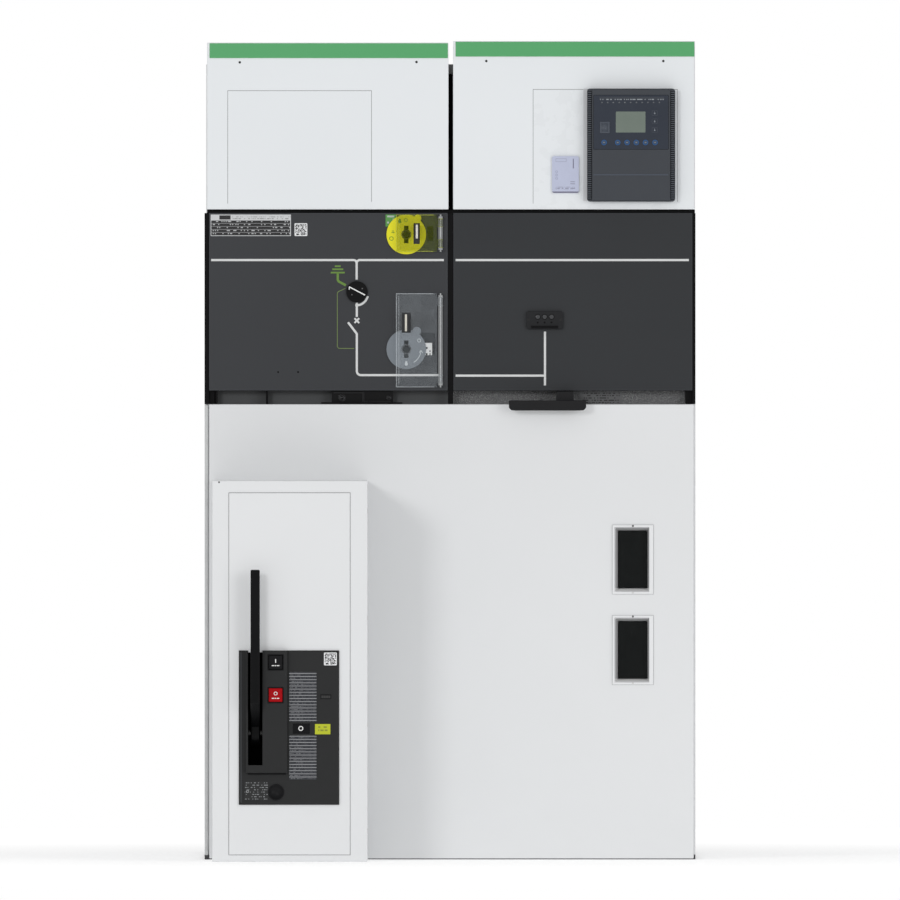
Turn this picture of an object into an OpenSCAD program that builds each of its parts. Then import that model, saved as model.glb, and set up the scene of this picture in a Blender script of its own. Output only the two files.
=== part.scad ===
// Two-column switchgear cubicle with a gas insulated circuit breaker.
// Millimetres. +X to the right, -Y out of the front, +Z up.
// The origin is on the floor, at the centre of the four anchor holes.

/* [Cubicle] */
// Overall width of the cubicle
cubicle_w = 960; // [930:1:1160]
// Depth of the body, without the breaker enclosure in front of it
cubicle_d = 940; // [780:1:1160]
// Width of the left column, to its edge at the gap between the columns
left_column_w = 477; // [470:1:560]
// Gap between the two columns
column_gap = 9; // [6:0.5:14]
// Height of the lower front panel's top edge
lower_h = 890; // [860:1:1100]
// Height of the recessed band above the lower front panel
recess_h = 27; // [24:1:50]
// Height of the mimic panels
mimic_h = 347; // [330:1:440]
// Thickness of the shelf that carries the low-voltage compartments
shelf_t = 7; // [4:0.5:12]
// Height of the left low-voltage compartment
left_lv_h = 326; // [300:1:420]
// Height of the right low-voltage compartment
right_lv_h = 329; // [300:1:420]
// Depth of the low-voltage compartments
lv_d = 340; // [250:1:400]
// Height of the busbar roof over the shelf
busbar_h = 289; // [240:1:300]

/* [Panels] */
// Depth of a folded outer panel
panel_t = 20; // [12:1:30]
// Thickness of plain sheet steel
sheet_t = 3; // [1.5:0.5:5]
// Gap between neighbouring panels
panel_gap = 0.5; // [0.3:0.1:0.9]
// How far the lower front panel stands in from the left side
lower_left_inset = 9; // [4:0.5:20]
// How far the lower front panel stands in from the right side
lower_right_inset = 3.5; // [2:0.5:20]
// Gap between the lower front panel and the floor
floor_gap = 2; // [1:0.5:10]
// How far the left low-voltage compartment stands in from the left side
left_lv_inset = 5; // [2:0.5:20]
// How far the right low-voltage compartment stands in from the right side
right_lv_inset = 1; // [0.5:0.5:20]
// How far a low-voltage box stands in from the edges of its cover
lv_box_inset = 2; // [1:0.5:6]

/* [Base] */
// Thickness of the base frame's foot flange
foot_t = 9; // [6:0.5:16]
// Width of the base frame's foot flange
foot_w = 80; // [60:1:120]
// Height of the base frame's upright web
web_h = 60; // [40:1:100]
// How far the anchor holes stand in from the cubicle's sides
anchor_side_inset = 40; // [34:1:60]
// How far the anchor holes stand in from the cubicle's front and back
anchor_end_inset = 50; // [40:1:64]
// Radius of an anchor hole
anchor_r = 7; // [5:0.5:10]
// Width of the foot flange that the floor plate laps
floor_lap = 6; // [4:1:10]

/* [Windows] */
// Width of a viewing window's frame
window_w = 80; // [70:1:120]
// Height of a viewing window's frame
window_h = 135; // [120:1:180]
// How far a viewing window's frame stands in from the panel's right edge
window_inset = 79; // [30:1:120]
// Bottom of the lower viewing window's frame above the floor
window_z = 342; // [150:1:360]
// Distance from one viewing window to the next, up the panel
window_pitch = 177; // [170:1:240]
// Width of a window frame's rim on each side of its glass
window_rim = 12; // [8:1:18]
// How far a window frame stands out of the panel
window_proud = 2.5; // [1:0.5:8]
// How far the glass lies in front of the frame's back
glass_inset = 1.5; // [0.5:0.5:4]
// Thickness of the window glass
glass_t = 5; // [3:1:8]

/* [Breaker enclosure] */
// Width of the breaker enclosure
breaker_w = 302; // [260:1:420]
// Height of the breaker enclosure
breaker_h = 741; // [680:1:820]
// How far the breaker enclosure stands out of the front panel
breaker_d = 278; // [180:1:360]
// How far the breaker enclosure stands in from the left side
breaker_inset = 17.5; // [10:0.5:60]
// How far the front cover stands in from the enclosure's left side
cover_inset = 33; // [10:1:50]
// How far the front cover stands in from the enclosure's right side
cover_right_inset = 34; // [10:1:50]
// How far the front cover stands in from the enclosure's top
cover_top_inset = 24; // [10:1:60]
// Bottom of the cover above the floor
cover_z = 14; // [5:1:40]
// Thickness of the cover
cover_t = 2; // [1:0.5:4]

/* [Breaker controls] */
// Width of the control fascia
fascia_w = 195; // [180:1:210]
// Height of the control fascia
fascia_h = 300; // [290:1:340]
// How far the fascia stands in from the cover's left edge
fascia_inset = 19; // [5:1:24]
// Bottom of the fascia above the cover's bottom
fascia_z = 97; // [60:1:120]
// Thickness of the fascia's base plate
fascia_t = 3; // [2:0.5:6]
// Width of the fascia's raised part
hump_w = 80; // [78:1:100]
// Height of the fascia's raised part
hump_h = 238; // [232:1:245]
// How far the raised part stands out of the base plate
hump_t = 10; // [6:0.5:16]
// How far the raised part stands in from the fascia's left edge
hump_inset = 14; // [10:1:20]
// Width of the lever's slot
slot_w = 28; // [28:1:32]
// Length of the lever's slot
slot_h = 223; // [215:1:230]
// How far the slot stands in from the raised part's left edge
slot_inset = 4; // [3:0.5:8]
// Width of the charging lever
lever_w = 18; // [12:1:18]
// Thickness of the charging lever
lever_t = 14; // [10:1:16]
// Height of the lever's tip above the fascia's top
lever_reach = 157; // [120:1:220]
// How far the lever stands clear of the raised part
lever_clear = 10; // [6:1:20]
// Depth of the lever's pivot behind the cover
pivot_depth = 35; // [30:1:45]
// Height of the lever's pivot above the slot's bottom
pivot_rise = 62; // [55:1:70]
// Height of the lever's elbow above its pivot
elbow_rise = 62; // [50:1:75]
// Radius of the lever's hub
hub_r = 24; // [18:1:28]
// Radius of the lever's shaft
shaft_r = 6; // [4:0.5:8]
// Running clearance of a shaft or pin in its bore, on the radius
running_fit = 0.05; // [0.02:0.01:0.1]
// Side of a square push button
button_w = 26.8; // [20:0.1:28]
// Gap round a push button
button_gap = 0.8; // [0.4:0.1:1]
// Travel of a push button
button_travel = 4; // [2:0.5:6]
// Length of a push button's body, front to back
button_l = 20; // [18:1:30]

/* [Operating points] */
// Thickness of a mimic panel
mimic_t = 8; // [5:1:16]
// How far the mimic panels lie behind the lower front panel's face
mimic_setback = 8; // [0:1:20]
// Width of the black trim at the left side of the mimic panels
left_trim_w = 8.5; // [5:0.5:20]
// Width of the black trim at the right side of the mimic panels
right_trim_w = 5.5; // [4:0.5:20]
// Radius of the two operating dials
dial_r = 38.7; // [34:0.1:42]
// Thickness of an operating dial
dial_t = 3; // [2:0.5:5]
// Radius of the round middle of a lever socket
socket_r = 7.4; // [6:0.1:9]
// Width of a lever socket's slot
socket_slot_w = 8.4; // [5:0.1:12]
// Length of a lever socket's slot
socket_slot_h = 34; // [24:1:40]
// Distance from a dial's centre to its column's edge at the gap
dial_inset = 82.5; // [80:0.5:100]
// Distance from a flap's hinge pin to its column's edge at the gap
pin_inset = 15.5; // [12:0.5:20]
// Distance of the hinge pins in front of the mimic panels
pin_out = 10; // [9:0.5:14]
// Radius of a hinge pin
pin_r = 1.8; // [1.2:0.1:2.5]
// Radius of a flap's hinge knuckle
knuckle_r = 4.5; // [3.5:0.1:5]
// Thickness of a flap
flap_t = 2.5; // [1.5:0.5:3]
// Width of a flap, from its free edge to its hinge side
flap_w = 80.5; // [76:0.5:84]
// Thickness of a padlock tab
tab_t = 4; // [2:0.5:4]
// Radius of the position indicator's disc
indicator_r = 21; // [16:1:26]
// Radius of the position indicator's shaft
indicator_shaft_r = 6; // [4:0.5:8]

/* [Small parts] */
// Width of the panel handle's grip bar
grip_w = 151; // [120:1:180]
// Height of the grip bar
grip_h = 19.5; // [14:0.5:24]
// Width of the handle's stem
stem_w = 34; // [24:1:50]
// Finger room between the grip bar and the panel
grip_room = 18; // [12:1:30]
// Width of the voltage indicator
voltage_w = 71; // [60:1:90]
// Height of the voltage indicator
voltage_h = 35; // [28:1:45]
// Width of the protection relay's front
relay_w = 172; // [160:1:190]
// Height of the protection relay's front
relay_h = 221; // [200:1:230]
// How far the relay stands out of its cover
relay_t = 24; // [15:1:35]
// Height of a green header band
header_h = 29; // [20:1:40]
// Thickness of a green header band
header_t = 1.5; // [0.8:0.1:3]

/* [Hidden] */
$fn = 64;
cut = 1; // how far a cutter runs past the face that it opens

// Outer planes of the cubicle
left_x = -cubicle_w / 2;
right_x = cubicle_w / 2;
front_y = -cubicle_d / 2;
back_y = cubicle_d / 2;
anchor_x = right_x - anchor_side_inset;
anchor_y = back_y - anchor_end_inset;
inner_y = front_y + panel_t + panel_gap; // front of what stands behind the front panels

// Edges of the two columns at the gap between them
left_edge = left_x + left_column_w;
right_edge = left_edge + column_gap;

// Levels, from the floor up
mimic_z = lower_h + recess_h;
shelf_z = mimic_z + mimic_h;
lv_z = shelf_z + shelf_t;
roof_z = lv_z + busbar_h;
wall_y = front_y + lv_d; // front of the wall behind the low-voltage boxes

// Lower front panel and its windows
lower_x = [left_x + lower_left_inset, right_x - lower_right_inset];
window_x = lower_x[1] - window_inset - window_w;
glass_w = window_w - 2 * window_rim;
glass_h = window_h - 2 * window_rim;

// Breaker enclosure, from its back to its front
breaker_x = left_x + breaker_inset;
breaker_y = front_y - breaker_d;
cover_x = breaker_x + cover_inset;
cover_w = breaker_w - cover_inset - cover_right_inset;
cover_h = breaker_h - cover_z - cover_top_inset;
cover_y = breaker_y - cover_t;
fascia_x = cover_x + fascia_inset;
fascia_bottom = cover_z + fascia_z;
fascia_y = cover_y - fascia_t;
hump_x = fascia_x + hump_inset;
hump_y = fascia_y - hump_t;
hump_z = fascia_bottom + fascia_h - hump_h;
slot_x = hump_x + slot_inset;
slot_z = fascia_bottom + fascia_h - slot_h;

// Mechanism pocket behind the raised part of the fascia
pocket_wall = 4;
pocket_x = [hump_x - pocket_wall, hump_x + hump_w - pocket_wall / 2];
pocket_z = [hump_z + pocket_wall, fascia_bottom + fascia_h - pocket_wall];
pocket_d = pivot_depth + hub_r + 12;

// Charging lever
lever_x = slot_x + (slot_w - lever_w) / 2;
pivot_y = cover_y + pivot_depth;
pivot_z = slot_z + pivot_rise;
bar_y = hump_y - lever_clear; // back face of the lever's bar
elbow_z = pivot_z + elbow_rise;
lever_top = fascia_bottom + fascia_h + lever_reach;
lever_chamfer = 3;

// Push buttons, from the fascia's top and the raised part's right edge
button_side = 9;
button_top = 9.7;
button_pitch = 63.6;
button_x = hump_x + hump_w - button_side - button_w;
close_z = fascia_bottom + fascia_h - button_top - button_w;
open_z = close_z - button_pitch;
button_sink = 1; // how far a button's face lies behind the raised part's face

// Flag windows in the fascia, from its right edge and bottom
state_inset = 90;
state_rise = 138;
state_x = fascia_x + fascia_w - state_inset;
state_z = fascia_bottom + state_rise;
state_w = 33;
spring_inset = 47;
spring_rise = 137;
spring_x = fascia_x + fascia_w - spring_inset;
spring_z = fascia_bottom + spring_rise;
spring_w = 30;
flag_h = 20;
flag_t = 1.5;

// Mimic panels
mimic_y = front_y + mimic_setback;
middle_trim_lap = 1; // how far the middle trim stands into the left column
left_mimic_x = [left_x + left_trim_w + panel_gap, left_edge - middle_trim_lap - panel_gap];
right_mimic_x = [right_edge + panel_gap, right_x - right_trim_w - panel_gap];

// Operating dials, flaps and hinges: centres and levels
earth_drop = 42; // earthing dial's centre below the shelf
disconnector_rise = 80.7; // disconnector dial's centre above the mimic panel's foot
dial_x = left_edge - dial_inset;
earth_z = shelf_z - earth_drop;
disconnector_z = mimic_z + disconnector_rise;
pin_x = left_edge - pin_inset;
pin_y = mimic_y - pin_out;
flap_root = 6.8; // from a flap's hinge side to its pin
flap_x = pin_x - flap_root - flap_w;
earth_flap_h = 73;
disconnector_flap_h = 184;
earth_flap_z = [shelf_z - 3 - earth_flap_h, shelf_z - 3];
disconnector_flap_z = [mimic_z + 6, mimic_z + 6 + disconnector_flap_h];
knuckle_l = 16.5;
knuckle_play = 0.3; // end play between a flap's knuckles and the hinge's ears
ear_t = 4;
ear_w = 8;
ear_root = 2; // thickness of the hinge leaf on the panel

// Padlock tabs: a fixed tab stands out through a slot in each flap
earth_tab = [pin_x - 48.3, earth_z - 8, 27];      // x, z, height
disconnector_tab = [pin_x - 69.7, disconnector_z + 35, 33];
earth_tab_slot = [pin_x - 52.8, 12.3, earth_z - 18.5, 40.5];   // x, width, z, height
disconnector_tab_slot = [pin_x - 75.6, 17.4, disconnector_z + 32.3, 39];
earth_tab_out = 13;
disconnector_tab_out = 20;
padlock_r = 3.3;

// Position indicator on the left mimic panel
indicator_inset = 179;
indicator_rise = 192.7;
indicator_x = left_edge - indicator_inset;
indicator_z = mimic_z + indicator_rise;
indicator_t = 4;
indicator_stand = 0.3; // gap between the disc and the panel
indicator_tail = 6; // how far its shaft stands out behind the panel

// Voltage indicator on the right mimic panel
voltage_inset = 143.5;
voltage_rise = 120;
voltage_t = 8;
voltage_corner = 4;

// Recessed band and what it carries
rail_y = front_y + 38;
rail_t = 25;
lock_x = left_edge - 228.5;
lock_w = 120.5;
lock_t = 20;
grip_x = right_edge + 109;
grip_y = front_y - grip_room;
grip_t = 13;
grip_z = lower_h - 12;
stem_x = right_edge + 202;

// Low-voltage compartments
left_lv_x = [left_x + left_lv_inset, left_edge];
right_lv_x = [right_edge, right_x - right_lv_inset];
relay_x = right_lv_x[1] - 39 - relay_w;
relay_z = lv_z + 15;
card_x = relay_x - 68.4;
card_z = lv_z + 32;
card_w = 52.4;
card_h = 72;
card_t = 5;

module block(x, y, z) {
    translate([x[0], y[0], z[0]]) cube([x[1] - x[0], y[1] - y[0], z[1] - z[0]]);
}

// A round bar or bore along Y, from y[0] to y[1]
module round_y(x, z, r, y) {
    translate([x, y[1], z]) rotate([90, 0, 0]) cylinder(r = r, h = y[1] - y[0]);
}

// A round bar or bore along X, from x[0] to x[1]
module round_x(y, z, r, x) {
    translate([x[0], y, z]) rotate([0, 90, 0]) cylinder(r = r, h = x[1] - x[0]);
}

// A plate in the XZ plane with true round corners
module rounded_plate(x, y, z, r) {
    union() {
        block([x[0] + r, x[1] - r], y, z);
        block(x, y, [z[0] + r, z[1] - r]);
        for (cx = [x[0] + r, x[1] - r], cz = [z[0] + r, z[1] - r])
            round_y(cx, cz, r, y);
    }
}

// A lever socket: a round hole with a slot standing through it
module lever_socket(x, z, y) {
    round_y(x, z, socket_r, y);
    block([x - socket_slot_w / 2, x + socket_slot_w / 2], y,
          [z - socket_slot_h / 2, z + socket_slot_h / 2]);
}

// ---- Base and body ----

module base_frame() {
    web_x = [left_x + panel_t + panel_gap, right_x - panel_t - panel_gap];
    web_y = [inner_y, back_y - panel_t - panel_gap];
    color("#1b1c1d") difference() {
        union() {
            block([left_x, right_x], [inner_y, back_y], [0, foot_t]);
            block(web_x, web_y, [0, web_h]);
        }
        block([web_x[0] + sheet_t, web_x[1] - sheet_t], [web_y[0] + sheet_t, web_y[1] - sheet_t],
              [foot_t, web_h + cut]);
        block([left_x + foot_w, right_x - foot_w], [inner_y + foot_w - panel_t, back_y - foot_w],
              [-cut, foot_t + cut]);
        for (sx = [-1, 1], sy = [-1, 1])
            translate([sx * anchor_x, sy * anchor_y, -cut])
                cylinder(r = anchor_r, h = foot_t + 2 * cut);
    }
}

module floor_plate() {
    color("#8a8d8f")
        block([left_x + foot_w - floor_lap, right_x - foot_w + floor_lap],
              [inner_y + foot_w - panel_t - floor_lap, back_y - foot_w + floor_lap],
              [foot_t, foot_t + sheet_t]);
}

// A side panel is tall behind and stops under the shelf in front
module side_panel(x) {
    color("#dadcde") union() {
        block([x, x + panel_t], [inner_y, wall_y], [foot_t, shelf_z]);
        block([x, x + panel_t], [wall_y, back_y], [foot_t, roof_z - panel_t]);
    }
}

module left_side_panel() { side_panel(left_x); }
module right_side_panel() { side_panel(right_x - panel_t); }

module rear_panel() {
    color("#dadcde")
        block([left_x + panel_t + panel_gap, right_x - panel_t - panel_gap],
              [back_y - panel_t, back_y], [foot_t, roof_z - panel_t]);
}

module roof_panel() {
    color("#d4d6d8") block([left_x, right_x], [wall_y, back_y], [roof_z - panel_t, roof_z]);
}

module busbar_front_wall() {
    color("#2a2c2e")
        block([left_x + panel_t + panel_gap, right_x - panel_t - panel_gap],
              [wall_y, wall_y + sheet_t], [lv_z, roof_z - panel_t]);
}

module lv_shelf() {
    color("#17181a")
        block([left_x + left_lv_inset, right_x - right_lv_inset],
              [mimic_y + mimic_t + panel_gap, wall_y - panel_gap], [shelf_z, lv_z]);
}

// ---- Lower front ----

module lower_front_panel() {
    color("#e2e3e5") difference() {
        block(lower_x, [front_y, front_y + panel_t], [floor_gap, lower_h]);
        for (k = [0, 1])
            block([window_x + window_rim / 2, window_x + window_w - window_rim / 2],
                  [front_y - cut, front_y + panel_t + cut],
                  [window_z + k * window_pitch + window_rim / 2,
                   window_z + k * window_pitch + window_h - window_rim / 2]);
    }
}

// A window frame lies on the panel and reaches back into its cut-out
module window_frame(k) {
    z = window_z + k * window_pitch;
    spigot = window_rim / 2 + panel_gap;
    color("#c3c6c8") difference() {
        union() {
            block([window_x, window_x + window_w], [front_y - window_proud, front_y],
                  [z, z + window_h]);
            block([window_x + spigot, window_x + window_w - spigot],
                  [front_y - window_proud, front_y + panel_t],
                  [z + spigot, z + window_h - spigot]);
        }
        block([window_x + window_rim, window_x + window_w - window_rim],
              [front_y - window_proud - cut, front_y + panel_t + cut],
              [z + window_rim, z + window_h - window_rim]);
    }
}

module window_glass(k) {
    z = window_z + k * window_pitch + window_rim;
    y = front_y + panel_t - glass_inset;
    color("#0c1210")
        block([window_x + window_rim, window_x + window_rim + glass_w], [y - glass_t, y],
              [z, z + glass_h]);
}

module upper_window_frame() { window_frame(1); }
module upper_window_glass() { window_glass(1); }
module lower_window_frame() { window_frame(0); }
module lower_window_glass() { window_glass(0); }

// ---- Breaker enclosure ----

module mechanism_pocket(y) { block(pocket_x, y, pocket_z); }

module breaker_enclosure() {
    color("#dcdee0") difference() {
        block([breaker_x, breaker_x + breaker_w], [breaker_y, front_y], [0, breaker_h]);
        mechanism_pocket([breaker_y - cut, breaker_y + pocket_d]);
    }
}

module enclosure_cover() {
    color("#e0e1e3") difference() {
        block([cover_x, cover_x + cover_w], [cover_y, breaker_y], [cover_z, cover_z + cover_h]);
        mechanism_pocket([cover_y - cut, breaker_y + cut]);
    }
}

module button_hole(z) {
    block([button_x - button_gap, button_x + button_w + button_gap],
          [hump_y - cut, cover_y + cut],
          [z - button_gap, z + button_w + button_gap]);
}

module control_fascia() {
    fascia_top = fascia_bottom + fascia_h;
    color("#38393b") difference() {
        union() {
            block([fascia_x, fascia_x + fascia_w], [fascia_y, cover_y],
                  [fascia_bottom, fascia_top]);
            block([hump_x, hump_x + hump_w], [hump_y, fascia_y], [hump_z, fascia_top]);
        }
        block([slot_x, slot_x + slot_w], [hump_y - cut, cover_y + cut], [slot_z, fascia_top + cut]);
        button_hole(close_z);
        button_hole(open_z);
        block([state_x, state_x + state_w], [fascia_y - cut, fascia_y + flag_t],
              [state_z, state_z + flag_h]);
        block([spring_x, spring_x + spring_w], [fascia_y - cut, fascia_y + flag_t],
              [spring_z, spring_z + flag_h]);
    }
}

module charging_shaft() {
    color("#55585a") round_x(pivot_y, pivot_z, shaft_r, pocket_x);
}

// The lever's arm slopes out of the slot from its hub and then stands up
module charging_lever() {
    half = lever_t / 2;
    bar_mid = bar_y - half;
    hub = [pivot_y - bar_mid, pivot_z - elbow_z]; // hub's centre, seen from the elbow
    tilt = atan2(hub[0], -hub[1]);
    side = half * [cos(tilt), sin(tilt)];
    mitre = half * tan(tilt / 2);
    top = lever_top - elbow_z;
    color("#1c1e20") difference() {
        union() {
            round_x(pivot_y, pivot_z, hub_r, [lever_x, lever_x + lever_w]);
            translate([lever_x, bar_mid, elbow_z]) rotate([90, 0, 90])
                linear_extrude(lever_w)
                    polygon([[-half, -mitre], hub - side, hub + side, [half, mitre],
                             [half, top - lever_chamfer], [half - lever_chamfer, top],
                             [lever_chamfer - half, top], [-half, top - lever_chamfer]]);
        }
        round_x(pivot_y, pivot_z, shaft_r + running_fit, [lever_x - cut, lever_x + lever_w + cut]);
    }
}

module push_button(z) {
    y = hump_y + button_sink;
    block([button_x, button_x + button_w], [y, y + button_l], [z, z + button_w]);
}

module close_button() { color("#16171a") push_button(close_z); }
module open_button() { color("#b30a12") push_button(open_z); }

module state_indicator() {
    color("#1d1f21")
        block([state_x, state_x + state_w], [fascia_y, fascia_y + flag_t],
              [state_z, state_z + flag_h]);
}

module spring_indicator() {
    color("#b9c40f")
        block([spring_x, spring_x + spring_w], [fascia_y, fascia_y + flag_t],
              [spring_z, spring_z + flag_h]);
}

// ---- Mimic panels and operating points ----

module left_mimic_panel() {
    through = [mimic_y - cut, mimic_y + mimic_t + cut];
    color("#404243") difference() {
        block(left_mimic_x, [mimic_y, mimic_y + mimic_t], [mimic_z, shelf_z]);
        lever_socket(dial_x, earth_z, through);
        lever_socket(dial_x, disconnector_z, through);
        round_y(indicator_x, indicator_z, indicator_shaft_r + running_fit, through);
    }
}

module right_mimic_panel() {
    color("#38393b") block(right_mimic_x, [mimic_y, mimic_y + mimic_t], [mimic_z, shelf_z]);
}

// Black upright strips at both sides and between the mimic panels. The side
// strips have a flange that covers the side panel's front edge.
module mimic_trims() {
    z = [lower_h + panel_gap, shelf_z];
    strip_y = [mimic_y, mimic_y + mimic_t + panel_gap];
    flange_y = [strip_y[1], inner_y];
    color("#0f1011") {
        block([left_x, left_mimic_x[0] - panel_gap], strip_y, z);
        block([left_x, left_x + panel_t], flange_y, z);
        block([left_mimic_x[1] + panel_gap, right_mimic_x[0] - panel_gap], strip_y, z);
        block([right_mimic_x[1] + panel_gap, right_x], strip_y, z);
        block([right_x - panel_t, right_x], flange_y, z);
    }
}

module recess_rail() {
    color("#4b4e50")
        block([left_x + panel_t + panel_gap, right_x - panel_t - panel_gap],
              [rail_y, rail_y + rail_t], [lower_h - panel_t, mimic_z]);
}

module key_lock() {
    color("#232527")
        block([lock_x, lock_x + lock_w], [rail_y - lock_t, rail_y], [lower_h, mimic_z - panel_gap]);
}

// A stem comes forward over the panel's edge and carries the grip bar
module panel_handle() {
    color("#202224") union() {
        block([grip_x, grip_x + grip_w], [grip_y - grip_t, grip_y], [grip_z, grip_z + grip_h]);
        block([stem_x, stem_x + stem_w], [grip_y - grip_t, rail_y],
              [lower_h + 2, grip_z + grip_h]);
        block([stem_x, stem_x + stem_w], [grip_y, rail_y], [lower_h + 2, mimic_z - 2]);
    }
}

module voltage_indicator() {
    x = right_edge + voltage_inset;
    z = mimic_z + voltage_rise;
    color("#1c1e20")
        rounded_plate([x, x + voltage_w], [mimic_y - voltage_t, mimic_y], [z, z + voltage_h],
                      voltage_corner);
}

module position_indicator() {
    y = mimic_y - indicator_stand;
    color("#0d0e0f") union() {
        round_y(indicator_x, indicator_z, indicator_r, [y - indicator_t, y]);
        round_y(indicator_x, indicator_z, indicator_shaft_r, [y, mimic_y + mimic_t + indicator_tail]);
    }
}

// A dial is a round plate with one ear, and the lever socket through it
module dial(z, ear, ear_r) {
    y = [mimic_y - dial_t, mimic_y];
    difference() {
        union() {
            round_y(dial_x, z, dial_r, y);
            round_y(dial_x + ear[0], z + ear[1], ear_r, y);
        }
        lever_socket(dial_x, z, [y[0] - cut, y[1] + cut]);
        children();
    }
}

module earthing_dial() {
    color("#c5be08") dial(earth_z, [22.3, 32], 7)
        tab_hole(earth_tab_slot);
}

module disconnector_dial() {
    color("#8e9599") dial(disconnector_z, [20.7, 35.7], 8.2)
        tab_hole(disconnector_tab_slot);
}

module tab_hole(s) {
    block([s[0], s[0] + s[1]], [pin_y - 2 * flap_t, mimic_y + cut], [s[2], s[2] + s[3]]);
}

// Levels of a flap's two knuckles, set in from its ends past the hinge's ears
function knuckles(z) = [z[0] + ear_t + 4, z[1] - ear_t - 4 - knuckle_l];

module flap(z, tab_slot) {
    difference() {
        union() {
            block([flap_x, flap_x + flap_w], [pin_y - flap_t / 2, pin_y + flap_t / 2], z);
            for (k = knuckles(z)) {
                block([flap_x + flap_w - cut, pin_x], [pin_y - flap_t / 2, pin_y + flap_t / 2],
                      [k, k + knuckle_l]);
                translate([pin_x, pin_y, k]) cylinder(r = knuckle_r, h = knuckle_l);
            }
        }
        tab_hole(tab_slot);
        translate([pin_x, pin_y, z[0] - cut])
            cylinder(r = pin_r + running_fit, h = z[1] - z[0] + 2 * cut);
    }
}

// The hinge is a leaf on the panel with two ears that carry the pin
module flap_hinge(z) {
    k = knuckles(z);
    color("#b9bcbe") union() {
        translate([pin_x, pin_y, z[0]]) cylinder(r = pin_r, h = z[1] - z[0]);
        for (ear_z = [k[0] - knuckle_play - ear_t, k[1] + knuckle_l + knuckle_play])
            block([pin_x - ear_w / 2, pin_x + ear_w / 2], [pin_y - pin_r - 1, mimic_y],
                  [ear_z, ear_z + ear_t]);
        block([pin_x - ear_w / 2, pin_x + ear_w / 2], [mimic_y - ear_root, mimic_y],
              [k[0] - knuckle_play - ear_t, k[1] + knuckle_l + knuckle_play + ear_t]);
    }
}

module earthing_flap() { color("#b4b92c", 0.6) flap(earth_flap_z, earth_tab_slot); }
module disconnector_flap() {
    color("#c9d2d6", 0.4) flap(disconnector_flap_z, disconnector_tab_slot);
}
module earthing_hinge() { flap_hinge(earth_flap_z); }
module disconnector_hinge() { flap_hinge(disconnector_flap_z); }

module padlock_tab(t, out) {
    tip_y = pin_y - out;
    difference() {
        block([t[0], t[0] + tab_t], [tip_y, mimic_y], [t[1], t[1] + t[2]]);
        round_x(tip_y + padlock_r + 2, t[1] + t[2] / 2, padlock_r, [t[0] - cut, t[0] + tab_t + cut]);
    }
}

module padlock_tabs() {
    color("#c9ccce") {
        padlock_tab(earth_tab, earth_tab_out);
        padlock_tab(disconnector_tab, disconnector_tab_out);
    }
}

// ---- Low-voltage compartments ----

// A sheet steel box that is open at the front, where its cover closes it
module lv_box(x, h) {
    outer_x = [x[0] + lv_box_inset, x[1] - lv_box_inset];
    outer_z = [lv_z, lv_z + h - lv_box_inset];
    color("#c9cccf") difference() {
        block(outer_x, [inner_y, wall_y - panel_gap], outer_z);
        block([outer_x[0] + sheet_t, outer_x[1] - sheet_t], [inner_y - cut, wall_y - panel_gap - sheet_t],
              [outer_z[0] + sheet_t, outer_z[1] - sheet_t]);
    }
}

module lv_cover(x, h) {
    color("#e4e3e8") block(x, [front_y, front_y + panel_t], [lv_z, lv_z + h]);
}

module header_band(x, h) {
    side = 5;
    top = 1.2;
    color("#62aa76")
        block([x[0] + side, x[1] - side / 4], [front_y - header_t, front_y],
              [lv_z + h - top - header_h, lv_z + h - top]);
}

module left_lv_box() { lv_box(left_lv_x, left_lv_h); }
module left_lv_cover() { lv_cover(left_lv_x, left_lv_h); }
module right_lv_box() { lv_box(right_lv_x, right_lv_h); }
module right_lv_cover() { lv_cover(right_lv_x, right_lv_h); }
module left_header_band() { header_band(left_lv_x, left_lv_h); }
module right_header_band() { header_band(right_lv_x, right_lv_h); }

module protection_relay() {
    rib_w = 10;
    step = 5;
    color("#464b53") union() {
        rounded_plate([relay_x, relay_x + relay_w], [front_y - relay_t + step, front_y],
                      [relay_z, relay_z + relay_h], 6);
        block([relay_x + rib_w, relay_x + relay_w - rib_w],
              [front_y - relay_t, front_y - relay_t + step],
              [relay_z + 2, relay_z + relay_h - 2]);
    }
}

module info_card() {
    color("#c9c9dc")
        rounded_plate([card_x, card_x + card_w], [front_y - card_t, front_y],
                      [card_z, card_z + card_h], 4);
}

base_frame();
floor_plate();
left_side_panel();
right_side_panel();
rear_panel();
roof_panel();
busbar_front_wall();
lv_shelf();
lower_front_panel();
upper_window_frame();
upper_window_glass();
lower_window_frame();
lower_window_glass();
breaker_enclosure();
enclosure_cover();
control_fascia();
charging_shaft();
charging_lever();
close_button();
open_button();
state_indicator();
spring_indicator();
left_mimic_panel();
right_mimic_panel();
mimic_trims();
recess_rail();
key_lock();
panel_handle();
voltage_indicator();
position_indicator();
earthing_dial();
earthing_flap();
earthing_hinge();
disconnector_dial();
disconnector_flap();
disconnector_hinge();
padlock_tabs();
left_lv_box();
left_lv_cover();
right_lv_box();
right_lv_cover();
left_header_band();
right_header_band();
protection_relay();
info_card();
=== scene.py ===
import math

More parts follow.
